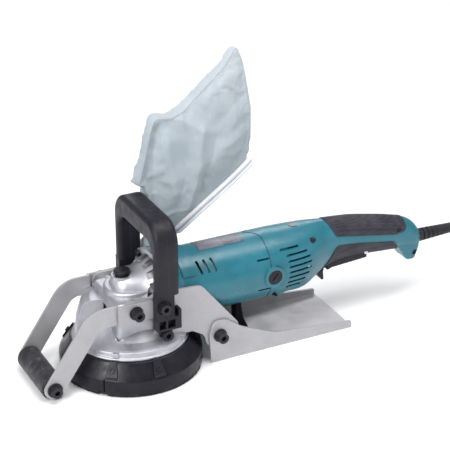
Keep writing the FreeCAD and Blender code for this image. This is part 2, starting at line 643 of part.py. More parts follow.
# ---- frame plates, arms and sole ---------------------------------------------------------------------
def side_plate():
    """Near side plate, to be mirrored."""
    outline = [(-29.0, 76.5, 10), (-29.0, 101.0, 10), (34.0, 101.0, 0), (34.0, 105.2, 2), (71.0, 102.8, 12),
               (119.0, 42.5, 8), (111.0, 17.0, 14), (79.0, 19.5, 10), (74.0, 37.5, 12), (59.0, 46.5, 6),
               (46.0, 46.5, 5), (12.5, 43.5, 10), (12.5, 76.5, 6)]
    plate = slab_xz(outline, -PLATE_Y - PLATE_T, -PLATE_Y)
    bead = slab_xz([(34.5, 79.0, 1.5), (34.5, 104.0, 1.5), (38.5, 104.0, 1.5), (38.5, 79.0, 1.5)],
                   -PLATE_Y - PLATE_T - 1.2, -PLATE_Y - PLATE_T + 0.5)
    holes = [rod_y(4.05, -60, -20, x, z) for x, z in (ARM_PIVOT, GRIP_BOLT, FRAME_BOLT, SOLE_PIVOT)]
    return cut(fuse([plate, bead]), holes)


def arm():
    """Near roller arm: a flat strap with a bend, and a joggle that steps it round the side plate."""
    w = ARM_W / 2
    slope = math.radians(ARM_SLOPE)
    along = Vector(math.cos(slope), math.sin(slope), 0)
    across = Vector(-along.y, along.x, 0)
    foot = Vector(ROLLER_X, ROLLER_R, 0)
    knee_z = ARM_PIVOT[1]
    knee = foot + along * ((knee_z - foot.y) / along.y)
    spread = w * math.tan(slope / 2)
    left = foot + across * w
    right = foot - across * w
    front = [(left.x, left.y, 0), (knee.x - spread, knee_z + w, 36), (-33.5, knee_z + w, 0),
             (-33.5, knee_z - w, 0),
             (knee.x + spread, knee_z - w, 16), (right.x, right.y, 0)]
    strap = slab_xz(front, -PLATE_Y - PLATE_T, -PLATE_Y)
    eye = rod_y(w, -PLATE_Y - PLATE_T, -PLATE_Y, foot.x, foot.y)
    rear_y = -PLATE_Y - PLATE_T - 0.3
    rear = slab_xz([(-33.5, knee_z - w, 0), (-33.5, knee_z + w, 0), (9.0, knee_z + w, 2),
                    (9.0, knee_z - w, 2)],
                   rear_y - PLATE_T, rear_y)
    joggle = slab_xz([(-34.5, knee_z - w, 0), (-34.5, knee_z + w, 0), (-29.5, knee_z + w, 0),
                      (-29.5, knee_z - w, 0)],
                     rear_y - PLATE_T, -PLATE_Y)
    joggle = joggle.cut(box(-31.5, -28, rear_y, -PLATE_Y + 1, 0, 200))
    joggle = joggle.cut(box(-36, -32.5, rear_y - PLATE_T - 1, -PLATE_Y - PLATE_T, 0, 200))
    whole = fuse([strap, eye, rear, joggle])
    whole = cut(whole, [rod_y(4.3, -60, -20, *ARM_PIVOT), rod_y(5.1, -60, -20, foot.x, foot.y)])
    return whole


def roller_axle():
    shaft = rod_y(5.0, -PLATE_Y - PLATE_T - 0.5, PLATE_Y + PLATE_T + 0.5, ROLLER_X, ROLLER_R)
    ends = []
    for side in (-1, 1):
        y = side * (PLATE_Y + PLATE_T)
        washer = rod_y(8.8, min(y, y + side * 1.6), max(y, y + side * 1.6), ROLLER_X, ROLLER_R)
        head = rod_y(6.4, min(y + side * 1.2, y + side * 8.5), max(y + side * 1.2, y + side * 8.5), ROLLER_X,
                     ROLLER_R)
        key = slab_xz([(ROLLER_X + 3.4 * math.cos(a), ROLLER_R + 3.4 * math.sin(a), 0) for a in
                       [math.radians(60 * i) for i in range(6)]], min(y + side * 4, y + side * 10),
                      max(y + side * 4, y + side * 10))
        ends.append(fuse([washer, head]).cut(key))
    return fuse([shaft] + ends)


def roller_sleeve():
    tube = rod_y(ROLLER_R, -PLATE_Y + 0.6, PLATE_Y - 0.6, ROLLER_X, ROLLER_R)
    rim = [e for e in tube.Edges if e.Curve.TypeId == "Part::GeomCircle"]
    tube = tube.makeFillet(1.5, rim)
    return tube.cut(rod_y(5.06, -60, 60, ROLLER_X, ROLLER_R))


def sole_plate():
    """Folded sheet: a flat sole with two upstanding flanges, each with a tall pivot ear at the front."""
    t = 2.5
    outer = SOLE_Y + PLATE_T
    outline = [(81.5, 0.0, 1), (79.0, 36.0, 6), (84.5, 53.0, 9), (101.0, 53.0, 12), (121.0, 38.5, 30),
               (165.0, 19.5, 60),
               (SOLE_REAR, 9.0, 1.5), (SOLE_REAR, 0.0, 0)]
    flange = slab_xz(outline, -outer, -SOLE_Y)
    flange = flange.cut(rod_y(4.35, -80, -20, *SOLE_PIVOT))
    sheet = slab_xy([(104.0, -outer, 0), (104.0, outer, 0), (SOLE_REAR, outer, 0), (SOLE_REAR, -outer, 0)],
                    0.0, t)
    return fuse([sheet, flange, mirror_y(flange)])


def pivot_bolts():
    """Bolts of the arms and the sole, with spring and flat washers as one stack each."""
    arm_seat = -PLATE_Y - 2 * PLATE_T - 0.6
    arm_bolt = socket_bolt(ARM_PIVOT[0], ARM_PIVOT[1], arm_seat, -25.0, 3.98, 6.4, 7.0, 3.4)
    sole_seat = -SOLE_Y - PLATE_T - 0.3
    sole_bolt = socket_bolt(SOLE_PIVOT[0], SOLE_PIVOT[1], sole_seat, -24.0, 3.98, 6.4, 7.0, 3.4)
    return both_sides(group([arm_bolt, sole_bolt]))


def pivot_spacer():
    """Cross tube between the side plates at the sole plate's pivot, tapped for its bolts."""
    bar = rod_y(14.0, -PLATE_Y, PLATE_Y, *SOLE_PIVOT)
    bolts = both_sides(rod_y(4.0, -PLATE_Y - 1, -19.0, *SOLE_PIVOT))
    return bar.cut(rod_y(10.0, -20.0, 20.0, *SOLE_PIVOT)).cut(bolts)


def travel_stop():
    """Rubber buffer on the sole that meets the motor when the sole folds up."""
    return slab_xz([(139.0, 2.5, 0), (156.0, 2.5, 0), (148.0, 20.0, 6), (144.5, 43.0, 1.5),
                    (137.5, 43.0, 1.5)], 2.0, 14.0)


def pivot_washers():
    made = []
    for pivot, seat in ((ARM_PIVOT, -PLATE_Y - 2 * PLATE_T - 0.6), (SOLE_PIVOT, -SOLE_Y - PLATE_T - 0.3)):
        flat = washer_y(pivot[0], pivot[1], seat - 1.4, seat, 8.2, 3.99)
        spring = washer_y(pivot[0], pivot[1], seat - 3.4, seat - 1.4, 6.9, 3.99)
        made += [flat, spring]
    return both_sides(group(made))


# ---- bail grip ---------------------------------------------------------------------------------------
LEG_Y = 53.0             # middle of a leg


def grip_body():
    outer = slab_yz([(-LEG_Y - 6.5, 108, 0), (-LEG_Y - 6.5, GRIP_TOP + 14, 27),
                     (LEG_Y + 6.5, GRIP_TOP + 14, 27), (LEG_Y + 6.5, 108, 0)],
                    GRIP_X - 14.5, GRIP_X + 14.5)
    window = slab_yz([(-LEG_Y + 7.5, 100, 0), (-LEG_Y + 7.5, GRIP_TOP - 13, 16),
                      (LEG_Y - 7.5, GRIP_TOP - 13, 16), (LEG_Y - 7.5, 100, 0)],
                     GRIP_X - 30, GRIP_X + 30)
    bail = outer.cut(window)
    rims = [e for e in bail.Edges if e.BoundBox.XLength < 0.01 and e.BoundBox.ZMax > 109]
    bail = bail.makeFillet(6.0, rims)
    foot = box(GRIP_X - 14.0, GRIP_X + 7.5, -LEG_Y - 5.5, -LEG_Y + 5.3, 78, 111)
    shelf = box(GRIP_X - 14.0, GRIP_X + 16.0, -LEG_Y - 5.5, -LEG_Y + 5.3, 64, 80)
    tab = box(GRIP_X + 12.5, GRIP_X + 16.0, -LEG_Y - 5.5, -LEG_Y + 5.3, 64, 88)
    pockets = [box(GRIP_X - 11.5, GRIP_X - 3.0, -LEG_Y - 7, -LEG_Y + 1.5, 66.5, 77.0),
               box(GRIP_X - 0.8, GRIP_X + 8.5, -LEG_Y - 7, -LEG_Y + 1.5, 66.5, 77.0)]
    foot = cut(fuse([foot, shelf, tab]), pockets)
    bolt_hole = rod_y(4.05, -80, -20, *GRIP_BOLT)
    recess = rod_y(8.5, -LEG_Y - 8, -LEG_Y - 1.5, *GRIP_BOLT)
    foot = cut(foot, [bolt_hole, recess])
    stub = box(GRIP_X - 13, GRIP_X + 7, -LEG_Y - 5.0, -LEG_Y + 5.0, 108, 112)
    return fuse([bail, foot, mirror_y(foot), stub, mirror_y(stub)])


def grip_shell(front):
    body = grip_body()
    half = box(GRIP_X - 40, GRIP_X, -90, 90, 40, 220) if front else box(GRIP_X, GRIP_X + 40, -90, 90, 40, 220)
    return body.common(half).cut(duct_bar(DUCT_R + 0.4))


def grip_bolts():
    seat = -LEG_Y - 1.5
    upper = socket_bolt(*GRIP_BOLT, seat, BOLT_TIP, 4.0, 6.4, 7.0, 3.4)
    upper_washer = washer_y(*GRIP_BOLT, seat - 3.4, seat, 7.4, 4.0)
    low_seat = -PLATE_Y - PLATE_T
    lower = socket_bolt(*FRAME_BOLT, low_seat, BOLT_TIP, 4.0, 6.4, 7.0, 3.4)
    lower_washer = washer_y(*FRAME_BOLT, low_seat - 3.4, low_seat, 8.0, 4.0)
    return both_sides(group([upper, upper_washer, lower, lower_washer]))


# ---- motor -------------------------------------------------------------------------------------------
def cap_place():
    return SPLIT_X - 3.0, MOTOR_Z


def motor_outer():
    """The motor barrel's outer form, flat over the hood and where the side plates lie on it."""
    x0 = FLANGE_X + 8.0
    shell = turned_x([(x0, 0, 0), (x0, 44.0, 1.0), (x0 + 8, 44.0, 2.0), (x0 + 18.0, MOTOR_R, 6.0),
                      (SPLIT_X, MOTOR_R, 0), (SPLIT_X, 0, 0)], MOTOR_Z)
    lugs = []
    for angle in FLANGE_ANGLES:
        y = 43.0 * math.cos(math.radians(angle))
        z = MOTOR_Z + 43.0 * math.sin(math.radians(angle))
        lugs.append(rod_x(5.5, x0, x0 + 14.0, y, z))
    boss = rod_y(13.0, -MOTOR_R - 2.0, MOTOR_R + 2.0, *cap_place())
    saddle = rod_x(MOTOR_R + 1.4, 52.0, 69.0, 0, MOTOR_Z).common(box(0, 100, -60, 60, MOTOR_Z + 23.0, 160))
    shell = fuse([shell, boss, saddle] + lugs)
    plate = side_plate()
    return cut(shell, [box(30, 72, -60, 60, 30, HEAD_Z), plate, mirror_y(plate)])


def motor_housing():
    x0 = FLANGE_X + 8.0
    inside = turned_x([(x0 - 1, 0, 0), (x0 - 1, 38.0, 0), (SPLIT_X + 20, 38.0, 0), (SPLIT_X + 20, 0, 0)],
                      MOTOR_Z)
    shell = motor_outer().cut(inside)
    caps = rod_y(9.2, -70, 70, *cap_place())
    slots = []
    for i in range(3):
        x = 74.5 + 9.0 * i
        window = slab_xz([(x - 2.6, MOTOR_Z + 34, 1.2), (x + 0.6, MOTOR_Z + 34, 1.2),
                          (x + 4.0, MOTOR_Z + 21, 1.2), (x + 0.8, MOTOR_Z + 21, 1.2)], -60, 0)
        slots += [window, mirror_y(window)]
    for z in (MOTOR_Z + 22.0, MOTOR_Z - 15.0):
        slit = slab_xz([(147, z - 1.2, 1.0), (163, z - 1.2, 1.0), (163, z + 1.2, 1.0), (147, z + 1.2, 1.0)],
                       -60, 0)
        slots += [slit, mirror_y(slit)]
    holes = [rod_x(2.2, x0 - 1, x0 + 11, 43.0 * math.cos(math.radians(a)),
                   MOTOR_Z + 43.0 * math.sin(math.radians(a)))
             for a in FLANGE_ANGLES]
    return largest(cut(shell, [caps] + slots + holes))


def rating_label():
    """Thin plate on the crown of the motor housing, and a round pad behind it."""
    skin = tube_x(MOTOR_R + 0.5, MOTOR_R, 84.0, 142.0, 0, MOTOR_Z)
    sector = slab_yz([(0, MOTOR_Z, 0), (60 * math.sin(math.radians(-16)),
                                        MOTOR_Z + 60 * math.cos(math.radians(16)), 0),
                      (60 * math.sin(math.radians(18)), MOTOR_Z + 60 * math.cos(math.radians(18)), 0)], 80,
                     150)
    pad = rod_z(5.5, MOTOR_Z + 36.0, MOTOR_Z + 44.0, 212.0, 0.0).common(handle_body(0.6)).cut(handle_body())
    return group([skin.common(sector), pad])


def stator_core():
    core = tube_x(37.6, 23.0, 84.0, 138.0, 0, MOTOR_Z)
    slots = [box(80, 142, -9, 9, MOTOR_Z + 22.0, MOTOR_Z + 32.0),
             box(80, 142, -9, 9, MOTOR_Z - 32.0, MOTOR_Z - 22.0)]
    return cut(core, slots)


def stator_windings():
    made = []
    for x0 in (74.0, 138.0):
        made.append(tube_x(33.0, 25.5, x0, x0 + 10.0, 0, MOTOR_Z))
    return group(made)


def fan_baffle():
    return turned_x([(70.5, 27.0, 0), (73.5, 27.0, 0), (73.5, 37.9, 0), (66.0, 37.9, 0), (66.0, 36.5, 0),
                     (70.5, 36.5, 0)], MOTOR_Z)


def armature_shaft():
    return turned_x([(19.0, 0, 0), (19.0, 4.0, 0.4), (31.0, 4.0, 0), (31.0, 6.0, 0), (44.0, 6.0, 0),
                     (44.0, 7.5, 0), (180.0, 7.5, 0),
                     (180.0, 4.0, 0), (196.0, 4.0, 0.4), (196.0, 0, 0)], MOTOR_Z)


def armature_core():
    core = tube_x(22.4, 7.5, 84.0, 138.0, 0, MOTOR_Z)
    slots = []
    for i in range(12):
        slot = box(83, 139, -1.2, 1.2, MOTOR_Z + 16.0, MOTOR_Z + 24.0)
        slot.rotate(Vector(0, 0, MOTOR_Z), AXIS_X, 30.0 * i)
        slots.append(slot)
    core = cut(core, slots)
    ends = [turned_x([(76.0, 7.5, 0), (76.0, 15, 3), (84.0, 19, 3), (84.0, 7.5, 0)], MOTOR_Z),
            turned_x([(138.0, 7.5, 0), (138.0, 19, 3), (147.0, 15, 3), (147.0, 7.5, 0)], MOTOR_Z)]
    return fuse([core] + ends)


def commutator():
    ring = tube_x(14.5, 7.5, 155.0, 178.0, 0, MOTOR_Z)
    slots = []
    for i in range(24):
        slot = box(153, 180, -0.4, 0.4, MOTOR_Z + 13.6, MOTOR_Z + 16.0)
        slot.rotate(Vector(0, 0, MOTOR_Z), AXIS_X, 15.0 * i)
        slots.append(slot)
    return cut(ring, slots)


def cooling_fan():
    disc = turned_x([(52.0, 7.5, 0), (52.0, 12.0, 0), (56.0, 12.0, 2), (60.0, 34.0, 0), (62.0, 34.0, 0),
                     (62.0, 7.5, 0)], MOTOR_Z)
    blades = []
    for i in range(13):
        blade = box(55.5, 69.5, -0.8, 0.8, MOTOR_Z + 20.0, MOTOR_Z + 34.0)
        blade.rotate(Vector(0, 0, MOTOR_Z), AXIS_X, 360.0 * i / 13)
        blades.append(blade)
    return fuse([disc] + blades)


def pinion():
    """Bevel pinion about X, meshing under the motor axis with the large gear."""
    gear = gear_solid(PINION_TEETH, GEAR_TEETH, GEAR_MODULE, 0.0, 8.0, 0.07)
    gear = gear.cut(rod_z(4.0, -60, 60))
    gear.rotate(Vector(0, 0, 0), AXIS_Y, -90)
    gear.translate(Vector(MESH_GAP, 0, 0))
    tail = tube_x(8.0, 4.0, 28.5, 31.0)
    return fuse([gear, tail])


def motor_bearings():
    front = tube_x(15.0, 6.0, 33.5, 43.5, 0, MOTOR_Z)
    rear = tube_x(11.0, 4.0, 181.0, 188.0, 0, MOTOR_Z)
    return group([front, rear])


def brush_holders():
    x, z = cap_place()
    holder = rod_y(8.9, -37.5, -18.0, x, z).cut(box(x - 4.1, x + 4.1, -40, -10, z - 3.6, z + 3.6))
    return both_sides(holder)


def carbon_brushes():
    x, z = cap_place()
    brush = box(x - 4.0, x + 4.0, -30.0, -14.6, z - 3.5, z + 3.5)
    return both_sides(brush)


def brush_caps():
    x, z = cap_place()
    y = -MOTOR_R - 1.6
    cap = rod_y(9.0, y, -37.5, x, z)
    slot = box(x - 5.5, x + 5.5, y - 1, y + 1.6, z - 0.9, z + 0.9)
    slot.rotate(Vector(x, y, z), AXIS_Y, -50)
    return both_sides(cap.cut(slot))


# ---- rear handle -------------------------------------------------------------------------------------
LEVER_PIVOT = (308.0, 78.0)
CATCH_PIVOT = (250.0, 71.0)


def handle_outer():
    boss_room = rod_y(13.4, -80, 80, *cap_place())
    return fuse([handle_body(), tail_block()]).cut(boss_room)


def handle_shell(side):
    body = handle_outer()
    inside = handle_body(-2.8, -6.0, -5.0)
    lever_slot = slab_xz([(239, 40, 0), (239, 71.5, 2), (252, 79.5, 2), (315, 79.5, 2), (315, 40, 0)], -12.0,
                         12.0)
    vents = []
    for i in range(8):
        z = MOTOR_Z + 27.0 - 6.6 * i
        start = 181.0 + 3.0 * math.sin(math.pi * i / 7) + (3.0 if i else -2.0)
        length = 18.0 + 15.0 * math.sin(math.pi * (i + 1.5) / 9.0)
        slit = slab_xz([(start, z - 1.3, 1.2), (start + length, z - 1.3, 1.2),
                        (start + length, z + 1.3, 1.2), (start, z + 1.3, 1.2)], -60, -18)
        vents += [slit, mirror_y(slit)]
    bearing_wall = tube_x(38.5, 11.05, 181.0, 190.0, 0, MOTOR_Z).common(handle_body(-2.0, -6.0, 0.0))
    cord_bore = rod_x(5.5, 350, 400, 0, CORD_Z)
    guard_seat = rod_x(9.0, HANDLE_END - 9.0, HANDLE_END + 1, 0, CORD_Z)
    eye_room = box(300.0, 315.0, -11.6, 11.6, 70.0, 84.0)
    pivot_post = rod_y(5.0, -17.0, 17.0, *LEVER_PIVOT).cut(rod_y(2.55, -40, 40, *LEVER_PIVOT))
    pivot_post = pivot_post.cut(box(290, 330, -12, 12, 50, 110)).common(handle_body(-1.0))
    solid = cut(body, [inside, lever_slot] + vents)
    solid = fuse([solid, bearing_wall, pivot_post])
    solid = cut(solid, [cord_bore, guard_seat, eye_room, rod_y(2.55, -14.5, 14.5, *LEVER_PIVOT)])
    half = box(100, 450, -80, 0, 0, 200) if side < 0 else box(100, 450, 0, 80, 0, 200)
    solid = cut(solid, screw_rooms() if side < 0 else [])
    return solid.common(half)


HANDLE_SCREWS = ((226.0, 118.0, -24.0), (352.0, 100.0, -13.9), (378.0, 63.0, -10.0))     # X, Z and seat


def screw_rooms():
    return [rod_y(3.6, -60, seat, x, z) for x, z, seat in HANDLE_SCREWS]


def handle_screws():
    made = []
    for x, z, depth in HANDLE_SCREWS:
        head = rod_y(3.5, depth - 2.5, depth, x, z)
        slot = box(x - 3, x + 3, depth - 3, depth - 1.6, z - 0.5, z + 0.5)
        made.append(head.cut(slot))
    return group(made)


def grip_pad(upper):
    """Soft elastomer skin moulded over the handle."""
    skin = fuse([handle_body(0.9, 0, 0.0)]).cut(handle_body())
    if upper:
        region = slab_xz([(243.0, 150.0, 0), (262.0, 112.0, 3), (300.0, 104.5, 30), (347.0, 95.5, 4),
                          (363.0, 97.5, 6), (368.0, 150.0, 0)], -40, 40)
        return cut(skin.common(region), screw_rooms())
    region = slab_xz([(262.0, 100.5, 8), (300.0, 94.5, 30), (345.0, 86.0, 8), (353.0, 76.0, 4),
                      (358.0, 60.0, 0), (236.0, 56.0, 0)], -40, 40)
    lever_slot = slab_xz([(230, 40, 0), (239, 71.5, 2), (252, 79.5, 2), (315, 79.5, 2), (315, 40, 0)], -12.0,
                         12.0)
    return cut(skin.common(region), [lever_slot, lever_pins()])


def switch_lever():
    """Long paddle under the handle, hinged at its rear end."""
    outline = [(255.0, 76.5, 2), (255.0, 62.5, 2.5), (262.0, 66.0, 4), (311.5, 69.0, 2), (311.5, 75.0, 2),
               (300.0, 78.0, 3)]
    paddle = slab_xz(outline, -10.8, 10.8)
    eye = rod_y(5.0, -10.8, 10.8, *LEVER_PIVOT).common(box(290, 330, -20, 20, 60, 82.5))
    lower = [e for e in paddle.Edges if e.BoundBox.YLength < 0.01 and e.BoundBox.ZMax < 71]
    paddle = paddle.makeFillet(1.6, lower)
    ear = slab_xz([(247.0, 68.0, 2.5), (247.0, 74.2, 2.5), (259.0, 75.6, 0), (259.0, 67.0, 0)], -9.0, -6.3)
    whole = fuse([paddle, eye, ear, mirror_y(ear)])
    return cut(whole, [rod_y(2.56, -30, 30, *LEVER_PIVOT), rod_y(1.56, -30, 30, *CATCH_PIVOT)])


def lever_pins():
    return group([rod_y(2.5, -14.0, 14.0, *LEVER_PIVOT)])


def lock_off_lever():
    """Small hooked catch at the front of the paddle."""
    outline = [(247.0, 72.5, 2), (244.5, 60.0, 2), (250.5, 50.5, 1.5), (253.6, 50.0, 1.2), (252.6, 60.5, 2),
               (253.8, 66.0, 1.0), (253.8, 73.5, 1.5)]
    return fuse([slab_xz(outline, -6.0, 6.0), rod_y(1.5, -9.0, 9.0, *CATCH_PIVOT)])


def switch_unit():
    unit = box(262, 302, -10, 10, 84.0, 108.0)
    terminal = box(302, 308, -8, 8, 88, 104)
    plunger = box(274, 281, -4, 4, 81.5, 84.0)
    return fuse([unit, terminal, plunger])


def controller_unit():
    return box(203, 248, -13, 13, 94.0, 112.0)


# ---- dust bag ----------------------------------------------------------------------------------------
BAG_Y0 = 33.0
BAG_Y1 = 66.0


def dust_bag():
    """Sewn cloth bag: a broad flat sack that narrows to a neck over the duct."""
    sack = slab_xz([(40.0, 126.0, 6), (31.0, 190.0, 30), (37.0, 218.0, 60), (62.0, 275.0, 10),
                    (101.0, 288.0, 50),
                    (158.0, 341.0, 6), (173.0, 300.0, 40), (177.0, 250.0, 60), (176.0, 206.0, 5),
                    (130.0, 166.0, 60),
                    (96.0, 138.0, 30), (76.0, 117.0, 8), (44.0, 113.0, 6)], BAG_Y0, BAG_Y1)
    neck_bottom = Part.Wire([Part.makeCircle(17.0, Vector(DUCT_TOP[0], DUCT_TOP[1] - 1.0, 98.0), AXIS_Z)])
    neck_top = Part.Wire([Part.makeCircle(18.5, Vector(59.0, 57.5, 128.0), AXIS_Z)])
    neck = Part.makeLoft([neck_bottom, neck_top], True, False)
    grip_side = box(0, GRIP_X + 16.5, -90, 90, 90, GRIP_TOP + 16.0)
    plate_side = box(0, 130, 0, PLATE_Y + PLATE_T + 1.6, 60, 107)
    motor_side = [rod_x(MOTOR_R + 6.0, 20, 250, 0, MOTOR_Z), rod_x(MOTOR_R + 9.0, 20, 52, 0, MOTOR_Z)]
    return cut(fuse([sack, neck]), [grip_side, plate_side] + motor_side)


def bag_collar():
    """Springy ring that holds the bag's neck on the duct."""
    x, y, z = DUCT_TOP
    outer = turned_z([(DUCT_R + 0.3, z - 14.5, 0), (DUCT_R + 4.0, z - 14.5, 1.5),
                      (DUCT_R + 3.0, z + 1.0, 1.0), (DUCT_R + 0.3, z + 1.0, 0)])
    outer.translate(Vector(x, y, 0))
    return outer


# ---- mains lead --------------------------------------------------------------------------------------
GUARD_TIP = HANDLE_END + 57.0
LEAD_ROUTE = [(GUARD_TIP, 0.0, CORD_Z), (470.0, 0.0, 76.4), (501.0, -6.0, 60.0), (522.0, -16.5, 34.0),
              (547.0, -30.0, 12.0), (581.4, -32.1, 4.7)]
COIL_CENTRE = (568.0, 18.0)
COIL_MID_R = 47.5        # middle of the coil's two columns of turns
COIL_WIDE = 2
COIL_LAYERS = 4
PLUG_Y = 59.7
PLUG_Z = 53.2
PLUG_R = 18.0
PLUG_BACK = 573.1        # where the tail enters the plug's strain relief
TAIL_ROUTE = [(610.7, -11.3, 30.3), (622.8, 6.3, 31.2), (624.4, 28.3, 36.0), (614.3, 48.1, 43.6),
              (595.3, 59.7, 50.6),
              (PLUG_BACK, PLUG_Y, PLUG_Z)]


def cord_guard():
    """Tapered strain relief with grooves, held in the end of the handle."""
    x0 = HANDLE_END - 8.8
    body = turned_x([(x0, CORD_R, 0), (x0, 8.8, 0.5), (HANDLE_END - 1.2, 8.8, 0),
                     (HANDLE_END + 2.0, 8.4, 0.5),
                     (GUARD_TIP, 6.0, 1.0), (GUARD_TIP, 0, 0), (GUARD_TIP - 6.0, 0, 0),
                     (GUARD_TIP - 6.0, CORD_R, 0)], CORD_Z)
    grooves = [tube_x(12, 6.6, x, x + 2.2, 0, CORD_Z) for x in [HANDLE_END + 8.0 + 6.5 * i for i in range(6)]]
    return cut(body, grooves)


def cord_run(route, radius, name=""):
    """A plain tube along a hand-set route."""
    edges, radii = bent_path(route)
    bar = sweep(edges, radius)
    if name:
        length = sum(edge.Length for edge in edges)
        ratio = bar.Volume / (math.pi * radius ** 2 * length)
        print(name, "radii", [round(r, 1) for r in radii], "length", round(length, 1), "volume ratio",
              round(ratio, 4))
    return bar


def cord_coil():
    """Outer form of the coiled lead, with pockets where its two ends enter."""
    half = COIL_WIDE * (CORD_R + 0.1)
    ring = tube_z(COIL_MID_R + half, COIL_MID_R - half, 0, COIL_LAYERS * 2 * CORD_R, *COIL_CENTRE)
    return cut(ring, [cord_run(LEAD_ROUTE, CORD_R + 0.35), cord_run(TAIL_ROUTE, CORD_R + 0.35)])


def plug():
    """Two-pin mains plug lying on the coil, its face towards -X, with a tapered strain relief."""
    body = turned_x([(PLUG_BACK, 0, 0), (PLUG_BACK, 5.6, 0.8), (PLUG_BACK - 26.0, 7.6, 2),
                     (PLUG_BACK - 30.0, 14.0, 3),
                     (PLUG_BACK - 43.0, PLUG_R - 0.5, 4), (PLUG_BACK - 50.0, PLUG_R, 1.5),
                     (PLUG_BACK - 60.0, PLUG_R, 1.5),
                     (PLUG_BACK - 60.0, 0, 0)], PLUG_Z)
    body.translate(Vector(0, PLUG_Y, 0))
    return body


def plug_pins():
    face = PLUG_BACK - 60.0
    pins = []
    for y in (-9.5, 9.5):
        pin = rod_x(2.4, face - 19.0, face, PLUG_Y + y, PLUG_Z)
        tip = [e for e in pin.Edges if e.BoundBox.XMax < face - 18.5]
        pins.append(pin.makeFillet(1.6, tip))
    return group(pins)


def main():
    os.makedirs("parts", exist_ok=True)
    parts = {
        "spindle_shaft": spindle_shaft(), "bevel_gear": bevel_gear(),
        "spindle_bearings": group([spindle_bearing(), top_bearing()]),
        "grinding_wheel": grinding_wheel(), "wheel_segments": wheel_segments(),
        "wheel_flanges": group([inner_flange(), lock_nut()]), "wheel_cover": wheel_cover(),
        "dust_skirt": dust_skirt(),
        "skirt_brush": skirt_brush(), "skirt_clips": group([skirt_clips(), skirt_screws()]),
        "dust_duct": dust_duct(),
        "gear_housing": gear_housing(), "bearing_retainer": bearing_retainer(), "lock_button": lock_button(),
        "lock_spring": lock_spring(), "hang_ring": hang_ring(), "side_plate_left": side_plate(),
        "side_plate_right": mirror_y(side_plate()), "arm_left": arm(), "arm_right": mirror_y(arm()),
        "roller_axle": roller_axle(), "roller_sleeve": roller_sleeve(), "sole_plate": sole_plate(),
        "frame_bolts": group([pivot_bolts(), pivot_washers(), grip_bolts()]), "pivot_spacer": pivot_spacer(),
        "travel_stop": travel_stop(), "grip_front_shell": grip_shell(True),
        "grip_rear_shell": grip_shell(False), "motor_housing": motor_housing(),
        "rating_label": rating_label(), "stator_core": stator_core(), "stator_windings": stator_windings(),
        "fan_baffle": fan_baffle(), "armature_shaft": armature_shaft(), "armature_core": armature_core(),
        "commutator": commutator(), "cooling_fan": cooling_fan(), "motor_bearings": motor_bearings(),
        "brush_holders": brush_holders(), "carbon_brushes": carbon_brushes(), "brush_caps": brush_caps(),
        "handle_left": handle_shell(-1), "handle_right": handle_shell(1),
        "case_screws": group([housing_screws(), flange_screws(), handle_screws()]),
        "upper_grip_pad": grip_pad(True), "lower_grip_pad": grip_pad(False), "switch_lever": switch_lever(),
        "lever_pin": lever_pins(), "lock_off_lever": lock_off_lever(), "switch_unit": switch_unit(),
        "controller_unit": controller_unit(), "dust_bag": dust_bag(), "bag_collar": bag_collar(),
        "cord_guard": cord_guard(), "mains_lead": cord_run(LEAD_ROUTE, CORD_R, "lead"),
        "cord_coil": cord_coil(),
        "cord_tail": cord_run(TAIL_ROUTE, CORD_R, "tail"), "plug": plug(), "plug_pins": plug_pins(),
    }
    placed_pinion = pinion()
    placed_pinion.translate(Vector(0, 0, MOTOR_Z))
    parts["pinion"] = placed_pinion
    for name, shape in parts.items():
        write(name, shape)


main()
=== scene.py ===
import json
import math
import random

import bmesh
import bpy
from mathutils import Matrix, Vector, noise
from mathutils.bvhtree import BVHTree


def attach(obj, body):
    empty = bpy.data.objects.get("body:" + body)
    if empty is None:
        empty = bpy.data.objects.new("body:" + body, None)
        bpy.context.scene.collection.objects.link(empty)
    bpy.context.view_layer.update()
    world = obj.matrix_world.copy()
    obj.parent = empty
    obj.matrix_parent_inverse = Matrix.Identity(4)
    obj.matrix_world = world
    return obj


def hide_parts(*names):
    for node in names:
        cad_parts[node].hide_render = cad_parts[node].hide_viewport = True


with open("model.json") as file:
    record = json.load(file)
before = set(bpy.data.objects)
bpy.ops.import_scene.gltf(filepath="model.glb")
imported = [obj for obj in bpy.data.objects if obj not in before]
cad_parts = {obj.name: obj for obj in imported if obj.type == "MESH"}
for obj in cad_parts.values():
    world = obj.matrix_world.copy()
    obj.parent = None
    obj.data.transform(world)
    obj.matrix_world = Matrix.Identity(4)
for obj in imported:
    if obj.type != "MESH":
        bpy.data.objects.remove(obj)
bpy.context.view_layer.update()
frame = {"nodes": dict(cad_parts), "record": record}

NODES = frame["nodes"]
random.seed(7)

# Sizes and places are in the planer's own millimetres: X from the wheel's axis to the rear, Y to the far
# side and Z up from the work surface. What goes straight to Blender is in metres.
FRAME_X = 130.75         # where the finished frame's origin is on that X


def at(x, y, z):
    """That place in the finished frame, in metres."""
    return Vector(((x - FRAME_X) / 1000, y / 1000, z / 1000))


def planer_mm(place):
    """The planer's own millimetres of a place in the finished frame."""
    return place.x * 1000 + FRAME_X, place.y * 1000, place.z * 1000


# ---- camera ------------------------------------------------------------------------------------------
CAMERA_PLACE = (-0.7702, -1.5170, 0.9721)
CAMERA_AIM = (0.0101, 0.0363, 0.1295)
FOCAL_LENGTH = 130.2
camera = bpy.data.objects.new("camera", bpy.data.cameras.new("camera"))
camera.data.sensor_width = 36.0
camera.data.lens = FOCAL_LENGTH
camera.location = CAMERA_PLACE
camera.rotation_mode = "QUATERNION"
camera.rotation_quaternion = (Vector(CAMERA_AIM) - camera.location).to_track_quat("-Z", "Y")
bpy.context.scene.collection.objects.link(camera)
bpy.context.scene.camera = camera
bpy.context.scene.view_settings.view_transform = "Standard"


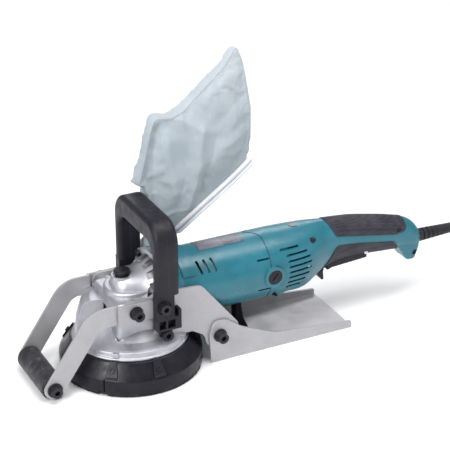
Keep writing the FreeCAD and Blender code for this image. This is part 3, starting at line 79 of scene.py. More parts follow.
# ---- light and floor ---------------------------------------------------------------------------------
def area_light(name, place, target, size, power):
    """A soft box of that size in metres and power in watts, aimed at a place."""
    light = bpy.data.lights.new(name, "AREA")
    light.shape = "RECTANGLE"
    light.size, light.size_y = size
    light.energy = power
    lamp = bpy.data.objects.new(name, light)
    lamp.location = place
    lamp.rotation_mode = "QUATERNION"
    lamp.rotation_quaternion = (Vector(target) - Vector(place)).to_track_quat("-Z", "Y")
    bpy.context.scene.collection.objects.link(lamp)


area_light("key", (-1.9, -1.0, 1.5), (0, 0, 0.1), (1.1, 1.1), 47)
area_light("top", (0.2, -0.4, 2.1), (0, 0, 0.1), (1.6, 1.0), 34)
area_light("fill", (1.5, -1.6, 0.8), (0, 0, 0.1), (1.2, 1.2), 4)
area_light("rim", (0.9, 1.8, 1.3), (0, 0, 0.15), (1.2, 0.8), 10)
world = bpy.data.worlds.new("studio")
bpy.context.scene.world = world
world.use_nodes = True
world.node_tree.nodes["Background"].inputs["Color"].default_value = (0.95, 0.97, 1.0, 1)
world.node_tree.nodes["Background"].inputs["Strength"].default_value = 0.4


# ---- materials ---------------------------------------------------------------------------------------
class Shader:
    """A Principled material put together node by node, in the frame's own metres."""

    def __init__(self, name, metallic=0.0, coat=0.0, sheen=0.0, shine=0.5):
        self.material = bpy.data.materials.new(name)
        self.material.use_nodes = True
        self.tree = self.material.node_tree
        self.bsdf = self.tree.nodes["Principled BSDF"]
        self.bsdf.inputs["Metallic"].default_value = metallic
        self.bsdf.inputs["Coat Weight"].default_value = coat
        self.bsdf.inputs["Coat Roughness"].default_value = 0.25
        self.bsdf.inputs["Sheen Weight"].default_value = sheen
        self.bsdf.inputs["Sheen Roughness"].default_value = 0.5
        self.bsdf.inputs["Specular IOR Level"].default_value = shine
        self.place = self.tree.nodes.new("ShaderNodeTexCoord").outputs["Object"]

    def link(self, a, b):
        """Wire output a to input b."""
        self.tree.links.new(a, b)

    def noise(self, scale, detail=3.0, stretch=(1, 1, 1), rough=0.55):
        """Noise from 0 to 1, its features about 1/scale metres across and drawn out by stretch."""
        mapping = self.tree.nodes.new("ShaderNodeMapping")
        mapping.inputs["Scale"].default_value = [scale / s for s in stretch]
        self.link(self.place, mapping.inputs["Vector"])
        texture = self.tree.nodes.new("ShaderNodeTexNoise")
        texture.inputs["Scale"].default_value = 1.0
        texture.inputs["Detail"].default_value = detail
        texture.inputs["Roughness"].default_value = rough
        self.link(mapping.outputs["Vector"], texture.inputs["Vector"])
        return texture.outputs["Fac"]

    def lattice(self, pitch):
        """Distance from the nearest point of a regular lattice, in pitches."""
        cells = self.tree.nodes.new("ShaderNodeTexVoronoi")
        cells.inputs["Scale"].default_value = 1.0 / pitch
        cells.inputs["Randomness"].default_value = 0.0
        self.link(self.place, cells.inputs["Vector"])
        return cells.outputs["Distance"]

    def wave(self, pitch, axis, distortion=0.0):
        """Bands square to an axis, one every pitch metres."""
        bands = self.tree.nodes.new("ShaderNodeTexWave")
        bands.bands_direction = axis
        bands.inputs["Scale"].default_value = 0.314 / pitch
        bands.inputs["Distortion"].default_value = distortion
        self.link(self.place, bands.inputs["Vector"])
        return bands.outputs["Fac"]

    def math(self, operation, a, b):
        """A Math node on sockets or numbers."""
        node = self.tree.nodes.new("ShaderNodeMath")
        node.operation = operation
        for socket, value in zip(node.inputs, (a, b)):
            if isinstance(value, (int, float)):
                socket.default_value = value
            else:
                self.link(value, socket)
        return node.outputs["Value"]

    def ramp(self, value, low, high, from_low=0.0, from_high=1.0):
        """low to high, smoothly, as the value goes from from_low to from_high."""
        node = self.tree.nodes.new("ShaderNodeMapRange")
        node.interpolation_type = "SMOOTHSTEP"
        node.inputs["From Min"].default_value = from_low
        node.inputs["From Max"].default_value = from_high
        node.inputs["To Min"].default_value = low
        node.inputs["To Max"].default_value = high
        self.link(value, node.inputs["Value"])
        return node.outputs["Result"]

    def mix(self, factor, a, b):
        """Colour a, or b where the factor is 1."""
        node = self.tree.nodes.new("ShaderNodeMix")
        node.data_type = "RGBA"
        self.link(factor, node.inputs["Factor"])
        for socket, colour in ((node.inputs[6], a), (node.inputs[7], b)):
            if isinstance(colour, tuple):
                socket.default_value = (*colour, 1)
            else:
                self.link(colour, socket)
        return node.outputs[2]

    def edges(self, radius):
        """(normal with its edges rounded, mask of the edges)"""
        bevel = self.tree.nodes.new("ShaderNodeBevel")
        bevel.samples = 4
        bevel.inputs["Radius"].default_value = radius
        geometry = self.tree.nodes.new("ShaderNodeNewGeometry")
        dot = self.tree.nodes.new("ShaderNodeVectorMath")
        dot.operation = "DOT_PRODUCT"
        self.link(bevel.outputs["Normal"], dot.inputs[0])
        self.link(geometry.outputs["Normal"], dot.inputs[1])
        return bevel.outputs["Normal"], self.ramp(dot.outputs["Value"], 1.0, 0.0, 0.86, 0.995)

    def finish(self, colour, rough, height, depth, normal=None):
        """Colour and roughness as sockets, and a relief of that depth in metres."""
        self.link(colour, self.bsdf.inputs["Base Color"])
        self.link(rough, self.bsdf.inputs["Roughness"])
        bump = self.tree.nodes.new("ShaderNodeBump")
        bump.inputs["Strength"].default_value = 1.0
        bump.inputs["Distance"].default_value = depth
        self.link(height, bump.inputs["Height"])
        if normal is not None:
            self.link(normal, bump.inputs["Normal"])
        self.link(bump.outputs["Normal"], self.bsdf.inputs["Normal"])
        return self.material


def moulded(name, dark, light, rough, coat=0.0, worn=None, shine=0.5):
    """Injection moulding: fine spark-eroded grain, faint cloudiness, edges rubbed a little lighter."""
    s = Shader(name, coat=coat, shine=shine)
    cloud, fine = s.noise(28, 4), s.noise(1800, 2)
    blend = s.math("ADD", s.math("MULTIPLY", cloud, 0.75), s.math("MULTIPLY", fine, 0.25))
    colour = s.mix(s.ramp(blend, 0, 1, 0.3, 0.7), dark, light)
    normal, rim = s.edges(0.0005)
    rubbed = s.math("MULTIPLY", rim, s.ramp(s.noise(220, 4), 0.1, 0.7, 0.4, 0.65))
    colour = s.mix(rubbed, colour, worn or tuple(min(1.0, c * 1.5 + 0.03) for c in light))
    return s.finish(colour, s.ramp(s.noise(90, 5), rough - 0.07, rough + 0.09, 0.3, 0.7), fine, 0.00003,
                    normal)


def metal(name, dark, light, rough, grain=900, stretch=(1, 1, 1), depth=0.00004, metallic=1.0, edge=0.0004):
    """Bare metal whose grain is even for a blasted casting, or drawn out for a brushed or turned face."""
    s = Shader(name, metallic=metallic)
    fine = s.noise(grain, 4, stretch)
    cloud = s.noise(35, 5)
    blend = s.math("ADD", s.math("MULTIPLY", cloud, 0.5), s.math("MULTIPLY", fine, 0.5))
    colour = s.mix(s.ramp(blend, 0, 1, 0.32, 0.68), dark, light)
    normal, rim = s.edges(edge)
    colour = s.mix(s.math("MULTIPLY", rim, 0.6), colour, tuple(min(1.0, c * 1.25 + 0.04) for c in light))
    roughness = s.ramp(s.math("ADD", fine, cloud), rough - 0.1, rough + 0.12, 0.7, 1.3)
    return s.finish(colour, roughness, fine, depth, normal)


def rubber(name, dark, light, rough, grain=700, dusty=0.0, shine=0.3):
    """Dull soft black, cloudy in its colour, and dusty in patches where dusty is above 0."""
    s = Shader(name, shine=shine)
    fine = s.noise(grain, 3)
    colour = s.mix(s.ramp(s.noise(45, 5), 0, 1, 0.35, 0.65), dark, light)
    if dusty:
        colour = s.mix(s.ramp(s.noise(160, 6), 0, dusty, 0.5, 0.75), colour, (0.42, 0.41, 0.40))
    return s.finish(colour, s.ramp(s.noise(120, 4), rough - 0.08, rough + 0.1, 0.3, 0.7), fine, 0.00005)


def dotted(name, dark, light):
    """Elastomer grip with rows of small raised dots."""
    s = Shader(name, shine=0.35)
    dots = s.ramp(s.lattice(0.0026), 1, 0, 0.26, 0.44)
    colour = s.mix(dots, dark, light)
    colour = s.mix(s.ramp(s.noise(60, 4), 0, 0.35, 0.4, 0.7), colour, (0.075, 0.075, 0.082))
    return s.finish(colour, s.ramp(dots, 0.62, 0.46), dots, 0.00035)


def cloth(name, dark, light):
    """Close plain weave with slubs and a soft nap, and painted light: paler towards the top of the bag."""
    s = Shader(name, sheen=0.35)
    warp, weft = s.wave(0.0007, "X", 0.6), s.wave(0.0007, "Z", 0.6)
    weave = s.math("MAXIMUM", warp, weft)
    slub = s.noise(420, 3, (1, 1, 5))
    shade = s.math("ADD", s.math("MULTIPLY", s.noise(16, 5), 0.8), s.math("MULTIPLY", slub, 0.2))
    colour = s.mix(s.ramp(shade, 0, 1, 0.34, 0.66), dark, light)
    colour = s.mix(s.math("MULTIPLY", s.math("SUBTRACT", 1.0, weave), 0.25), colour,
                   tuple(c * 0.72 for c in dark))
    height = s.tree.nodes.new("ShaderNodeSeparateXYZ")
    s.link(s.place, height.inputs["Vector"])
    # painted light: the cloth grows paler with height, standing in for the light that falls on the bag's
    # upper part
    colour = s.mix(s.ramp(height.outputs["Z"], 0.0, 0.42, 0.235, 0.34), colour, (0.50, 0.535, 0.57))
    crumple = s.noise(55, 4, (1, 1, 2.5), 0.5)
    relief = s.math("ADD", s.math("MULTIPLY", crumple, 9.0),
                    s.math("ADD", weave, s.math("MULTIPLY", slub, 0.8)))
    return s.finish(colour, s.ramp(slub, 0.78, 0.95), relief, 0.00014)


def label(name):
    """Grey film with faint broken rules and plain paler blocks, and nothing that can be read."""
    s = Shader(name, coat=0.2)
    rows = s.ramp(s.wave(0.0022, "Y"), 0, 1, 0.5, 0.62)
    breaks = s.ramp(s.noise(260, 1, (3, 1, 1)), 0, 0.8, 0.42, 0.5)
    block = s.ramp(s.noise(34, 0, (1, 3, 3)), 0, 0.55, 0.5, 0.52)
    colour = s.mix(s.math("MULTIPLY", rows, breaks), (0.075, 0.078, 0.100), (0.20, 0.203, 0.235))
    colour = s.mix(block, colour, (0.19, 0.193, 0.225))
    return s.finish(colour, s.ramp(s.noise(300, 3), 0.3, 0.45), s.noise(1500, 2), 0.00001)


FINISHES = {
    "cast_silver": metal("blasted casting", (0.39, 0.39, 0.42), (0.60, 0.60, 0.64), 0.44, grain=1300,
                         depth=0.00009, metallic=0.85, edge=0.0007),
    "steel_plate": metal("brushed sheet", (0.37, 0.365, 0.38), (0.49, 0.48, 0.495), 0.52, grain=3400,
                         stretch=(30, 1, 1), depth=0.00002, metallic=0.6),
    "black_steel": metal("black oxide", (0.018, 0.018, 0.022), (0.045, 0.045, 0.052), 0.42, grain=1500,
                         metallic=0.75),
    "teal_plastic": moulded("teal moulding", (0.005, 0.122, 0.168), (0.010, 0.155, 0.208), 0.34, coat=0.25,
                            worn=(0.09, 0.28, 0.35)),
    "black_plastic": moulded("black moulding", (0.009, 0.008, 0.013), (0.017, 0.016, 0.022), 0.46,
                             worn=(0.075, 0.073, 0.085), shine=0.28),
    "soft_grip": dotted("dotted grip", (0.020, 0.019, 0.028), (0.048, 0.046, 0.060)),
    "skirt_rubber": rubber("skirt rubber", (0.005, 0.004, 0.008), (0.011, 0.010, 0.015), 0.33, shine=0.25),
    "bristle": rubber("bristle", (0.008, 0.008, 0.010), (0.024, 0.023, 0.025), 0.6, grain=3000),
    "bare_steel": metal("ground steel", (0.52, 0.52, 0.54), (0.66, 0.66, 0.68), 0.28, grain=1800,
                        stretch=(1, 1, 8)),
    "gear_steel": metal("machined steel", (0.34, 0.34, 0.36), (0.50, 0.50, 0.52), 0.34, grain=2200,
                        stretch=(6, 6, 1)),
    "copper": metal("copper", (0.55, 0.20, 0.09), (0.74, 0.34, 0.19), 0.30, grain=1800, stretch=(5, 1, 1)),
    "lamination": metal("laminations", (0.16, 0.16, 0.17), (0.32, 0.32, 0.34), 0.48, grain=2600,
                        stretch=(0.3, 8, 8)),
    "carbon": rubber("carbon", (0.020, 0.020, 0.022), (0.05, 0.05, 0.055), 0.5, grain=2600),
    "brass": metal("brass", (0.58, 0.40, 0.14), (0.78, 0.58, 0.26), 0.30, grain=1900, stretch=(4, 1, 1)),
    "label_film": label("label film"),
    "roller_rubber": rubber("roller rubber", (0.016, 0.016, 0.019), (0.036, 0.036, 0.041), 0.5, dusty=0.12),
    "cord_rubber": rubber("cord rubber", (0.010, 0.010, 0.012), (0.022, 0.022, 0.026), 0.5),
    "diamond_metal": metal("diamond segment", (0.20, 0.19, 0.17), (0.45, 0.43, 0.38), 0.62, grain=1500,
                           depth=0.0002),
    "wheel_steel": moulded("painted cup", (0.025, 0.045, 0.070), (0.045, 0.070, 0.10), 0.38,
                           worn=(0.30, 0.30, 0.31)),
    "bag_cloth": cloth("bag cloth", (0.335, 0.390, 0.430), (0.440, 0.495, 0.535)),
}
# the gusset's cloth is the bag's cloth made a little darker: painted shade that keeps down the highlight on
# the bag's edge-on faces
SHADED_GUSSET = cloth("gusset cloth, painted shade", (0.33, 0.375, 0.41), (0.41, 0.455, 0.49))
CLIP = moulded("pale clip", (0.66, 0.66, 0.70), (0.78, 0.78, 0.82), 0.35, worn=(0.9, 0.9, 0.92))
PLUG_BLACK = moulded("plug moulding", (0.012, 0.012, 0.014), (0.022, 0.022, 0.026), 0.42)
THREAD = rubber("stitching", (0.50, 0.56, 0.60), (0.66, 0.71, 0.74), 0.8, grain=2500)
TIE = moulded("tie strap", (0.02, 0.02, 0.022), (0.035, 0.035, 0.04), 0.4)

for node in frame["record"]["subparts"]:
    mesh = NODES[node["node"]].data
    mesh.materials.clear()
    mesh.materials.append(FINISHES[node["material_slot"]])


# ---- small builders ----------------------------------------------------------------------------------
def piece(name, bm, body, material, smooth=True):
    """A mesh piece from a bmesh, in the row frame."""
    mesh = bpy.data.meshes.new(name)
    bm.to_mesh(mesh)
    bm.free()
    for face in mesh.polygons:
        face.use_smooth = smooth
    mesh.materials.append(material)
    made = bpy.data.objects.new(name, mesh)
    bpy.context.scene.collection.objects.link(made)
    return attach(made, body)


def tube(bm, line, radius, sides):
    """A round tube along points, closed at its ends."""
    rings = []
    side = (line[1] - line[0]).orthogonal().normalized()
    turns = [2 * math.pi * k / sides for k in range(sides)]
    for i, point in enumerate(line):
        along = (line[min(i + 1, len(line) - 1)] - line[max(i - 1, 0)]).normalized()
        side = (side - along * side.dot(along)).normalized()
        other = along.cross(side)
        rings.append([bm.verts.new(point + (side * math.cos(a) + other * math.sin(a)) * radius)
                      for a in turns])
    for a, b in zip(rings, rings[1:]):
        for k in range(sides):
            bm.faces.new((a[k], a[(k + 1) % sides], b[(k + 1) % sides], b[k]))
    bm.faces.new(list(reversed(rings[0])))
    bm.faces.new(rings[-1])


# ---- mains lead: straight out, down to the floor, wound into a neat coil, up into the plug -----------
GUARD_TIP = 444.0
LEAD = [(GUARD_TIP, 0.0, 77.2), (470.0, 0.0, 76.4), (501.0, -6.0, 60.0),
        (522.0, -16.5, 34.0), (547.0, -30.0, 12.0)]
TAIL = [(610.7, -11.3, 30.3), (622.8, 6.3, 31.2), (624.4, 28.3, 36.0),
        (614.3, 48.1, 43.6), (595.3, 59.7, 50.6), (573.1, 59.7, 53.2)]
CORD_R = 0.00425
COIL = (568.0, 18.0)
COIL_BEGIN, COIL_END = -75.0, 2475.0    # degrees round it
OUTER, INNER = 51.8, 43.2               # radii of the two columns of turns
LOWEST, LAYER = 4.7, 8.6                # height of the first turn, and from a layer to the next
PLACE_TURN = 320.0                      # degrees from one change of place to the next
CHANGE = 40.0                           # degrees that a change takes
POINTS = 24                             # control points in a turn


def coil_points():
    """Turns two wide and four high, each moving to the next place just before it meets the last one."""
    places = [(OUTER, 0), (INNER, 0), (INNER, 1), (OUTER, 1),
              (OUTER, 2), (INNER, 2), (INNER, 3), (OUTER, 3)]
    step = 360.0 / POINTS
    points = []
    for i in range(int((COIL_END - COIL_BEGIN) / step) + 1):
        angle = COIL_BEGIN + i * step
        radius, layer = places[0]
        for k in range(1, len(places)):
            share = (angle - (COIL_BEGIN + PLACE_TURN * k)) / CHANGE
            share = min(1.0, max(0.0, share))
            share = share * share * (3 - 2 * share)
            radius += (places[k][0] - places[k - 1][0]) * share
            layer += (places[k][1] - places[k - 1][1]) * share
        grown = radius * 4 / (3 + math.cos(math.radians(step)))
        a = math.radians(angle)
        points.append((COIL[0] + grown * math.cos(a), COIL[1] + grown * math.sin(a), LOWEST + LAYER * layer))
    return points


curve = bpy.data.curves.new("mains_cord", "CURVE")
curve.dimensions = "3D"
curve.bevel_depth = CORD_R
curve.bevel_resolution = 5
spline = curve.splines.new("NURBS")
route = LEAD + coil_points() + TAIL
spline.points.add(len(route) - 1)
for point, xyz in zip(spline.points, route):
    point.co = (*at(*xyz), 1)
spline.order_u = 3
spline.use_endpoint_u = True
spline.resolution_u = 5
curve.use_fill_caps = True
curve.materials.append(FINISHES["cord_rubber"])
cord = bpy.data.objects.new("mains_cord", curve)
bpy.context.scene.collection.objects.link(cord)
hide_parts("mains_lead", "cord_coil", "cord_tail")
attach(cord, "chassis")

# ---- tie: a strap round the coil's turns -------------------------------------------------------------
TIE_ANGLE = math.radians(215)           # where it is round the coil
TIE_MIDDLE = (OUTER + INNER) / 2000     # metres from the coil's centre
TIE_Z = 17.6                            # height of its middle
TIE_ACROSS, TIE_UP = 0.0091, 0.0175     # half its loop's width and height
TIE_HALF, TIE_THICK = 0.005, 0.0006     # half the strap's width, and its thickness
TIE_STEPS = 32


def strap():
    """A closed band with a square-cornered loop."""
    bm = bmesh.new()
    radial = Vector((math.cos(TIE_ANGLE), math.sin(TIE_ANGLE), 0))
    tangent = Vector((-math.sin(TIE_ANGLE), math.cos(TIE_ANGLE), 0))
    middle = at(COIL[0], COIL[1], TIE_Z) + radial * TIE_MIDDLE
    side = tangent * TIE_HALF
    loop = []
    for k in range(TIE_STEPS):
        t = 2 * math.pi * k / TIE_STEPS
        square = (abs(math.cos(t)) ** 5 + abs(math.sin(t)) ** 5) ** (-1 / 5)
        across = radial * (TIE_ACROSS * square * math.cos(t))
        loop.append(middle + across + Vector((0, 0, TIE_UP * square * math.sin(t))))
    for k in range(TIE_STEPS):
        here, ahead = loop[k], loop[(k + 1) % TIE_STEPS]
        here_out, ahead_out = (p + (p - middle).normalized() * TIE_THICK for p in (here, ahead))
        for quad in ((here_out - side, ahead_out - side, ahead_out + side, here_out + side),
                     (here + side, ahead + side, ahead - side, here - side),
                     (here_out - side, ahead_out - side, ahead - side, here - side),
                     (here + side, ahead + side, ahead_out + side, here_out + side)):
            bm.faces.new([bm.verts.new(place) for place in quad])
    bmesh.ops.remove_doubles(bm, verts=bm.verts, dist=1e-5)
    return piece("cord_tie", bm, "chassis", TIE, smooth=False)


tie = strap()
NODES["plug"].data.materials[0] = PLUG_BLACK

# ---- dust bag: a sewn shell, swelled and creased as cloth --------------------------------------------
BAG_EDGE = [                      # X and Z of the sewn edge, round the bag
    (44, 116), (41.5, 150), (41, 190), (38, 199.5), (30, 200), (37, 227), (45, 262), (51, 279), (57, 281),
    (72, 279), (88, 284.5), (116, 307), (140, 325), (157, 345), (163, 345.5), (169, 327), (173, 298),
    (176, 272), (176, 240), (175.5, 211), (172, 203.5), (149, 186), (101, 153), (82, 139), (76, 122),
    (60, 114),
]
BAG_MIDDLE = (105, 235)
GRIP_TOP, GRIP_BACK = 199, 39.4   # the bag stays behind the front grip below its top
PLATE_TOP, PLATE_FRONT, PLATE_FAR = 106.5, 40, 43.8     # and on the far side of the side plate
MOTOR_Z = 90                      # height of the motor's axis
MOTOR_CLEAR = 47.8                # the bag's distance from that axis
FLANGE_CLEAR, FLANGE_REAR = 50.3, 53    # and round the flange in front of this X
DUCT_TOP = 98.05                  # and nothing of it is lower than the duct's end
BAG_NEAR = 37.0                   # Y of the near panel
NECK = [                          # X, Y, Z and half widths in X and Y, from the collar up into the bag
    (56, 61, 98, 17, 17),
    (56.5, 60, 108, 17, 16.6),
    (58, 56, 121, 17.4, 15),
    (61, 51, 136, 18, 12),
    (64, 49.5, 152, 17, 9),
]
NECK_POINTS = 40
CLIP_LINE = [(76, 134), (101, 152), (149, 185), (177, 207)]
CLIP_Y = 44.0
SEAM_POINTS = 220
OUTLINE_POINTS = 90               # a coarser edge, to measure distances from
SEAM_LOW = 150                    # no seam shows below this height
PANEL_RINGS = 13                  # from a panel's middle out to its seam
VOXEL = 0.0032
SWELL_FRAMES = 20
SWELL_CAP = 0.006                 # the furthest that the simulation may move a point
CREASES = [                       # height of the fold, its half width, and where it runs on the near panel
    (2.2, 9.0, [(60, 281), (72, 281), (90, 271), (108, 259)]),
    (2.4, 9.0, [(109, 258), (106, 232), (104, 202), (96, 160)]),
    (-3.0, 13.0, [(126, 244), (120, 208), (112, 176)]),
    (1.8, 8.0, [(66, 262), (70, 224), (78, 186)]),
    (-1.6, 5.0, [(52, 250), (47, 216), (50, 192)]),
    (2.0, 16.0, [(118, 292), (150, 318)]),
    (-2.0, 15.0, [(130, 262), (158, 288)]),
    (1.6, 12.0, [(134, 232), (166, 244)]),
]
FACET = [                         # the fold round the sunken corner
    (56, 281), (72, 280), (90, 270), (108, 257), (105, 232), (103, 202), (95, 160),
]
FACET_TURN = 3                    # the point of it where it turns down
FACET_DEEP = 5.0
FACET_EASE = 13                   # how far from the fold the corner is at its full depth


def even(line, count, closed=True):
    """The line again, as that many evenly spaced points with its corners eased."""
    points = [Vector(p) for p in line]
    if closed:
        points.append(points[0])
    spans = [(b - a).length for a, b in zip(points, points[1:])]
    total = sum(spans)
    steps = count if closed else count - 1
    made = []
    for i in range(count):
        left = total * i / steps
        k = 0
        while k < len(spans) - 1 and left > spans[k]:
            left -= spans[k]
            k += 1
        made.append(points[k].lerp(points[k + 1], min(1.0, left / spans[k])))
    if closed:
        return [(made[i - 1] + made[i] * 2 + made[(i + 1) % count]) / 4 for i in range(count)]
    eased = [(made[i - 1] + made[i] * 2 + made[i + 1]) / 4 for i in range(1, count - 1)]
    return [made[0]] + eased + [made[-1]]


def off_line(line, x, z):
    """How far a place in X and Z is from a line."""
    spot = Vector((x, z))
    best = 1e9
    for start, end in zip(line, line[1:]):
        a, b = Vector(start), Vector(end)
        share = min(1.0, max(0.0, (spot - a).dot(b - a) / (b - a).length_squared))
        best = min(best, (spot - a.lerp(b, share)).length)
    return best


def sunken(x, z):
    """How far the near panel's left corner falls back behind its crooked fold."""
    across, down = FACET[:FACET_TURN + 1], FACET[FACET_TURN:]
    below = [a[1] + (b[1] - a[1]) * (x - a[0]) / (b[0] - a[0])
             for a, b in zip(across, across[1:]) if a[0] <= x <= b[0]]
    beside = [a[0] + (b[0] - a[0]) * (z - a[1]) / (b[1] - a[1])
              for a, b in zip(down, down[1:]) if b[1] <= z <= a[1]]
    top = below[0] if below else FACET[0][1]
    right = beside[0] if beside else FACET[FACET_TURN][0]
    if z > top or x > right or z < FACET[-1][1]:
        return 0.0
    return FACET_DEEP * min(1.0, off_line(FACET, x, z) / FACET_EASE)


def pinch(x, z):
    """1 at the clip, where the two panels come together, and 0 away from it."""
    share = min(1.0, max(0.0, (off_line(CLIP_LINE, x, z) - 4) / 42))
    return (1 - share) ** 2


def far_side(z):
    """How far back the bag's far panel lies at this height: thin at the top, full at the neck."""
    share = min(1.0, max(0.0, (z - 165) / 75))
    return 60.0 - 10.0 * share * share * (3 - 2 * share)


def far_spread(x, z):
    """How much wider the far panel is than the near one, at its left and its top."""
    return 1.0 + 0.06 * min(1.0, max(0.0, (150 - x) / 40)) * min(1.0, max(0.0, (z - 190) / 20))


def lean(z):
    """How far back the bag's top leans at this height."""
    return 9.0 * max(0.0, (z - 268) / 75) ** 1.3


def scaled(p, share):
    """X and Z of an edge point moved towards the bag's middle, or out past the edge above 1."""
    return BAG_MIDDLE[0] + (p.x - BAG_MIDDLE[0]) * share, BAG_MIDDLE[1] + (p.y - BAG_MIDDLE[1]) * share


def bag_shell():
    """Near panel, gusset and far panel as rings from one middle to the other, and the neck into them."""
    bm = bmesh.new()
    edge = even(BAG_EDGE, SEAM_POINTS)
    rings = []
    shares = [i / PANEL_RINGS for i in range(1, PANEL_RINGS + 1)]
    for t in shares:
        rings.append([(*scaled(p, t), BAG_NEAR - 2.5 * (1 - t ** 2)) for p in edge])
    for g in (0.25, 0.5, 0.75):
        rings.append([(*scaled(p, 1 + (far_spread(p.x, p.y) - 1) * g),
                       BAG_NEAR + (far_side(p.y) - BAG_NEAR) * g) for p in edge])
    for t in reversed(shares):
        rings.append([(*scaled(p, far_spread(p.x, p.y) * t),
                       far_side(p.y) + 4.0 * (1 - t ** 2)) for p in edge])
    loops = [[bm.verts.new(at(x, y + (CLIP_Y - y) * 0.86 * pinch(x, z) + lean(z), z)) for x, z, y in ring]
             for ring in rings]
    for a, b in zip(loops, loops[1:]):
        for k in range(SEAM_POINTS):
            bm.faces.new((a[k], b[k], b[(k + 1) % SEAM_POINTS], a[(k + 1) % SEAM_POINTS]))
    bm.faces.new(loops[0])
    bm.faces.new(list(reversed(loops[-1])))
    turns = [2 * math.pi * k / NECK_POINTS for k in range(NECK_POINTS)]
    necks = [[bm.verts.new(at(x + rx * math.cos(a), y + ry * math.sin(a), z)) for a in turns]
             for x, y, z, rx, ry in NECK]
    for a, b in zip(necks, necks[1:]):
        for k in range(NECK_POINTS):
            bm.faces.new((a[k], a[(k + 1) % NECK_POINTS], b[(k + 1) % NECK_POINTS], b[k]))
    bm.faces.new(list(reversed(necks[0])))
    bm.faces.new(necks[-1])
    bmesh.ops.recalc_face_normals(bm, faces=bm.faces)
    return bm


def applied(subject, name):
    """The mesh as its modifiers leave it, with none of them left on it."""
    graph = bpy.context.evaluated_depsgraph_get()
    mesh = bpy.data.meshes.new_from_object(subject.evaluated_get(graph))
    mesh.name = name
    subject.modifiers.clear()
    subject.data = mesh


def clear_of(x, y, z):
    """The nearest place to this one that keeps off the front grip, the side plate, the motor and the duct."""
    if z < GRIP_TOP:
        x = max(x, GRIP_BACK - 6 * max(0.0, (z - (GRIP_TOP - 5)) / 5))
    if z < PLATE_TOP and x > PLATE_FRONT:
        y = max(y, PLATE_FAR)
    rise = max(0.0, z - MOTOR_Z)
    far = math.hypot(y, rise)
    keep = FLANGE_CLEAR if x < FLANGE_REAR else MOTOR_CLEAR
    if 0 < far < keep:
        y, rise = y * keep / far, rise * keep / far
        z = MOTOR_Z + rise if z > MOTOR_Z else z
    return x, y, max(z, DUCT_TOP)


def swell(subject):
    """Blow the shell up as cloth held at its seams, its neck and the clip, with no point moving far."""
    seam = [Vector((p.x, BAG_NEAR + lean(p.y), p.y)) for p in even(BAG_EDGE, OUTLINE_POINTS)]
    rest = [v.co.copy() for v in subject.data.vertices]
    hold = subject.vertex_groups.new(name="hold")
    for v in subject.data.vertices:
        x, y, z = planer_mm(v.co)
        near = min((Vector((x, y, z)) - p).length for p in seam)
        weight = max(1.0 - max(0.0, near - 2.5) / 6, 1.0 - max(0.0, z - 104) / 14, pinch(x, z) * 1.5 - 0.5)
        if weight > 0:
            hold.add([v.index], min(1.0, weight), "REPLACE")
    modifier = subject.modifiers.new("cloth", "CLOTH")
    cloth = modifier.settings
    cloth.quality = 6
    cloth.mass = 0.15
    cloth.tension_stiffness = 12
    cloth.compression_stiffness = 12
    cloth.shear_stiffness = 4
    cloth.bending_stiffness = 0.15
    cloth.use_pressure = True
    cloth.uniform_pressure_force = 1.6
    cloth.shrink_min = -0.03
    cloth.vertex_group_mass = "hold"
    cloth.effector_weights.gravity = 0.0
    modifier.point_cache.frame_start = 1
    modifier.point_cache.frame_end = SWELL_FRAMES
    for step in range(1, SWELL_FRAMES + 1):
        bpy.context.scene.frame_set(step)
    applied(subject, "bag_cloth_mesh")
    bpy.context.scene.frame_set(1)
    subject.vertex_groups.clear()
    for v, start in zip(subject.data.vertices, rest):
        moved = v.co - start
        if moved.length > SWELL_CAP:
            v.co = start + moved * (SWELL_CAP / moved.length)


shell_mesh = bpy.data.meshes.new("bag_shell")
shell_bm = bag_shell()
shell_bm.to_mesh(shell_mesh)
shell_bm.free()
bag = bpy.data.objects.new("bag_shell", shell_mesh)
bpy.context.scene.collection.objects.link(bag)
remesh = bag.modifiers.new("remesh", "REMESH")
remesh.mode = "VOXEL"
remesh.voxel_size = VOXEL
applied(bag, "bag_voxels")
easing = bag.modifiers.new("ease", "SMOOTH")
easing.factor = 0.5
easing.iterations = 1
applied(bag, "bag_eased")
swell(bag)
rounding = bag.modifiers.new("round", "SUBSURF")
rounding.levels = rounding.render_levels = 1
applied(bag, "bag_shell")
outline = [tuple(p) for p in even(BAG_EDGE, OUTLINE_POINTS)]
outline.append(outline[0])
normals = [v.normal.copy() for v in bag.data.vertices]
for v, normal in zip(bag.data.vertices, normals):
    x, y, z = planer_mm(v.co)
    ease = min(1.0, off_line(outline, x, z) / 8)
    waves = noise.noise(Vector((x, y * 0.6, z)) * 0.03) + 0.6 * noise.noise(Vector((x, y, z)) * 0.08)
    height = 0.8 * waves
    if normal.y < -0.25:
        for fold, width, line in CREASES:
            crest = max(0.0, 1.06 - math.hypot(off_line(line, x, z) / width, 0.06))
            height += fold * crest ** 1.3
        height -= sunken(x, z)
    v.co += normal * (height * ease / 1000)
for v in bag.data.vertices:
    v.co = at(*clear_of(*planer_mm(v.co)))
bag.data.materials.clear()
bag.data.materials.append(FINISHES["bag_cloth"])
bag.data.materials.append(SHADED_GUSSET)
for face in bag.data.polygons:
    face.use_smooth = True
    x, y, z = planer_mm(face.center)
    edgeways = abs(face.normal.y) < 0.62 and off_line(outline, x, z) < 6 and pinch(x, z) < 0.35
    # edge-on faces and the far panel take the darker gusset cloth, which carries painted shade
    face.material_index = 1 if z > SEAM_LOW and (edgeways or y > 56) else 0
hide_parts("dust_bag")
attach(bag, "bag")

# ---- the bag's seam and stitches, laid on its cloth --------------------------------------------------
cloth_tree = BVHTree.FromPolygons([v.co for v in bag.data.vertices],
                                  [tuple(f.vertices) for f in bag.data.polygons])


def on_panel(x, z, lift):
    """The place on the near panel at this X and Z, that far off the cloth."""
    hit, normal, _, _ = cloth_tree.ray_cast(at(x, -60, z), Vector((0, 1, 0)))
    return None if hit is None else hit + normal * (lift / 1000)


